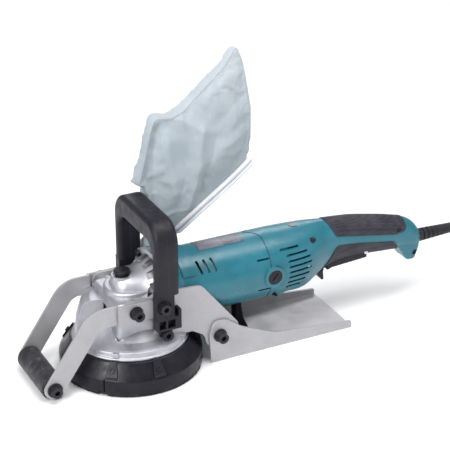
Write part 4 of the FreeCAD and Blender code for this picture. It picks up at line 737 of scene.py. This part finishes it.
def inset(points, depth):
    """A closed line moved inwards by that depth."""
    count = len(points)
    made = []
    for i in range(count):
        along = (points[(i + 1) % count] - points[i - 1]).normalized()
        made.append(points[i] + Vector((along.y, -along.x)) * depth)
    return made


PIPING_IN, STITCH_IN = 1.8, 5.0         # how far in from the edge each of them runs
PIPING_R, THREAD_R = 0.0007, 0.00032
EDGE_POINTS = 420
RUN_GAP = 0.004                         # the piping breaks where the next place is further off than this
STITCH_STEP = 3                         # edge points from a stitch to the next
STITCH_LONG = 0.003                     # none is longer, so none bridges a fold


def sew_piping(edge):
    """A thin cord along the near panel's seam, in runs that break where the seam leaves the panel."""
    bm = bmesh.new()
    run = []
    piping = [on_panel(p.x, p.y, 0.1) for p in inset(edge, PIPING_IN)]
    for i, place in enumerate(piping + [None]):
        off = place is None or edge[i % EDGE_POINTS].y < SEAM_LOW
        if off or run and (place - run[-1]).length > RUN_GAP:
            if len(run) > 6:
                tube(bm, run, PIPING_R, 6)
            run = [] if off else [place]
        else:
            run.append(place)
    piece("bag_piping", bm, "bag", SHADED_GUSSET)


def sew_stitches(edge):
    """A row of stitches inside the seam, each with its ends sunk in the cloth."""
    bm = bmesh.new()
    line = inset(edge, STITCH_IN)
    sunk, proud = Vector((0, 0.0004, 0)), Vector((0, -0.0002, 0))
    for a, b in zip(line[::STITCH_STEP], line[1::STITCH_STEP]):
        first, last = on_panel(a.x, a.y, 0.12), on_panel(b.x, b.y, 0.12)
        if min(a.y, b.y) > SEAM_LOW and None not in (first, last) and (last - first).length < STITCH_LONG:
            tube(bm, [first + sunk, (first + last) / 2 + proud, last + sunk], THREAD_R, 5)
    piece("bag_stitches", bm, "bag", THREAD)


fine_edge = even(BAG_EDGE, EDGE_POINTS)
sew_piping(fine_edge)
sew_stitches(fine_edge)

# ---- slide clip along the bag's lower edge: a folded channel with a shallow groove and closed ends ----
CLIP_SECTION = [                        # outwards from the bag's edge, and towards the near side
    (-1.5, 3.4), (0.5, 3.9), (3.0, 4.0), (3.5, 3.3), (6.0, 3.3), (6.5, 4.0), (8.4, 3.6),
    (9.4, 2.4), (9.7, 0), (9.4, -2.4), (8.4, -3.6), (3.0, -4.0), (0.5, -3.9), (-1.5, -3.4),
]
CLIP_CENTRE = 3.5
CLIP_STEPS = 26


def slide_clip():
    """The section swept along the clip's line and drawn in at both ends."""
    bm = bmesh.new()
    rings = []
    line = even(CLIP_LINE, CLIP_STEPS, closed=False)
    last = CLIP_STEPS - 1
    for i, p in enumerate(line):
        along = (line[min(i + 1, last)] - line[max(i - 1, 0)]).normalized()
        out = Vector((along.y, -along.x))
        size = min(1.0, min(i, last - i) / 1.5 + 0.55)
        ring = []
        for u, v in CLIP_SECTION:
            spot = p + out * (CLIP_CENTRE + (u - CLIP_CENTRE) * size)
            ring.append(bm.verts.new(at(spot.x, CLIP_Y - v * size, spot.y)))
        rings.append(ring)
    for a, b in zip(rings, rings[1:]):
        for k in range(len(CLIP_SECTION)):
            ahead = (k + 1) % len(CLIP_SECTION)
            bm.faces.new((a[k], a[ahead], b[ahead], b[k]))
    bm.faces.new(list(reversed(rings[0])))
    bm.faces.new(rings[-1])
    bmesh.ops.recalc_face_normals(bm, faces=bm.faces)
    piece("bag_clip", bm, "bag", CLIP)


slide_clip()

# ---- parting line between the motor housing and the rear handle --------------------------------------
SPLIT_X, SPLIT_R = 163.6, 41.02
SPLIT_BOW = 14.0                        # how far forward it bows
SPLIT_LINE_R = 0.00042
split_bm = bmesh.new()
split = []
for k in range(97):
    a = math.radians(-60 + 2.5 * k)
    bow = max(0.0, 1 - abs(math.degrees(a) + 12) / 26) ** 1.5
    split.append(at(SPLIT_X - SPLIT_BOW * bow, -SPLIT_R * math.sin(a), MOTOR_Z + SPLIT_R * math.cos(a)))
tube(split_bm, split, SPLIT_LINE_R, 6)
piece("housing_split_line", split_bm, "chassis", FINISHES["cord_rubber"])

# ---- skirt brush: clamped strip and its tufts --------------------------------------------------------
BRUSH_GAPS = [-139.0, 50.3, 128.4]      # degrees round the wheel's axis
BRUSH_R = 80.0
GAP_HALF, STRIP_GAP_HALF = 1.0, 1.2
LIFT_RUN, LIFT = 8.8, 1.7               # along the brush past a gap, the outer tufts end this high
STRIPS = [                              # inner and outer radius, lower and upper Z
    (78.6, 82.5, 3.6, 5.4), (75.7, 78.4, 7.0, 11.9),
]
ROWS = [                                # radius, height of the roots, and degrees from a tuft to the next
    (82.2, 3.8, 0.42), (81.4, 3.8, 0.5), (80.0, 3.8, 0.7), (77.6, 7.2, 0.7), (76.2, 7.2, 0.8),
]
OUTER_ROWS = 3
FLOOR_GAP = 0.1                         # the other tufts end just off the floor
TUFT_LIMIT = 82.6                       # the tips stay inside the skirt's radius


def about(radius, degrees, z):
    """A place by its radius and angle round the wheel's axis."""
    a = math.radians(degrees)
    return at(radius * math.cos(a), radius * math.sin(a), z)


def gap_off(degrees):
    """Millimetres along the brush from the nearest gap, below zero before it."""
    return min(((degrees - gap + 180) % 360 - 180 for gap in BRUSH_GAPS), key=abs) * math.pi / 180 * BRUSH_R


def strips(bm):
    """The two clamped bands that the tufts grow from, open at the gaps."""
    for k in range(720):
        a, b = k / 2, (k + 1) / 2
        if min(abs(gap_off(a)), abs(gap_off(b))) < STRIP_GAP_HALF:
            continue
        for inner, outer, low, high in STRIPS:
            section = ((inner, low), (outer, low), (outer, high), (inner, high))
            v = [bm.verts.new(about(r, d, z)) for d in (a, b) for r, z in section]
            for q in ((0, 1, 5, 4), (1, 2, 6, 5), (2, 3, 7, 6), (3, 0, 4, 7)):
                bm.faces.new([v[n] for n in q])


def tuft(bm, radius, degrees, top, lifted):
    """One flat tuft, with a tip that strays a little from its root."""
    foot = degrees + random.uniform(-0.35, 0.35)
    width, low = random.uniform(0.16, 0.26), lifted + random.uniform(0.0, 0.8)
    reach = min(radius + random.uniform(-0.5, 0.35), TUFT_LIMIT)
    ends = []
    for r, depth, d, half, z in ((radius, 0.3, degrees, width, top), (reach, 0.1, foot, width / 2, low)):
        corners = ((r - depth, d - half), (r + depth, d - half), (r + depth, d + half), (r - depth, d + half))
        ends.append([bm.verts.new(about(*corner, z)) for corner in corners])
    root, tip = ends
    for q in range(4):
        bm.faces.new((root[q], root[(q + 1) % 4], tip[(q + 1) % 4], tip[q]))
    bm.faces.new(tip)


brush_bm = bmesh.new()
strips(brush_bm)
for row, (radius, top, pitch) in enumerate(ROWS):
    degrees = 0.2 * row
    while degrees < 360:
        off = gap_off(degrees)
        lifted = LIFT if -GAP_HALF < off < LIFT_RUN and row < OUTER_ROWS else FLOOR_GAP
        if abs(off) > GAP_HALF:
            tuft(brush_bm, radius, degrees, top, lifted)
        degrees += pitch
bmesh.ops.recalc_face_normals(brush_bm, faces=brush_bm.faces)
brush = piece("skirt_bristles", brush_bm, "chassis", FINISHES["bristle"], smooth=False)
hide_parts("skirt_brush")

# ---- stage -------------------------------------------------------------------------------------------
floor_mesh = bpy.data.meshes.new("floor")
floor_mesh.from_pydata([(-6, -6, 0), (6, -6, 0), (6, 6, 0), (-6, 6, 0)], [], [(0, 1, 2, 3)])
floor = bpy.data.objects.new("floor", floor_mesh)
paper = Shader("floor")
paper_colour = paper.mix(paper.noise(3, 2), (0.90, 0.90, 0.905), (0.93, 0.93, 0.935))
paper_rough = paper.ramp(paper.noise(5, 2), 0.75, 0.9)
floor_mesh.materials.append(paper.finish(paper_colour, paper_rough, paper.noise(400, 2), 0.00001))
bpy.context.scene.collection.objects.link(floor)
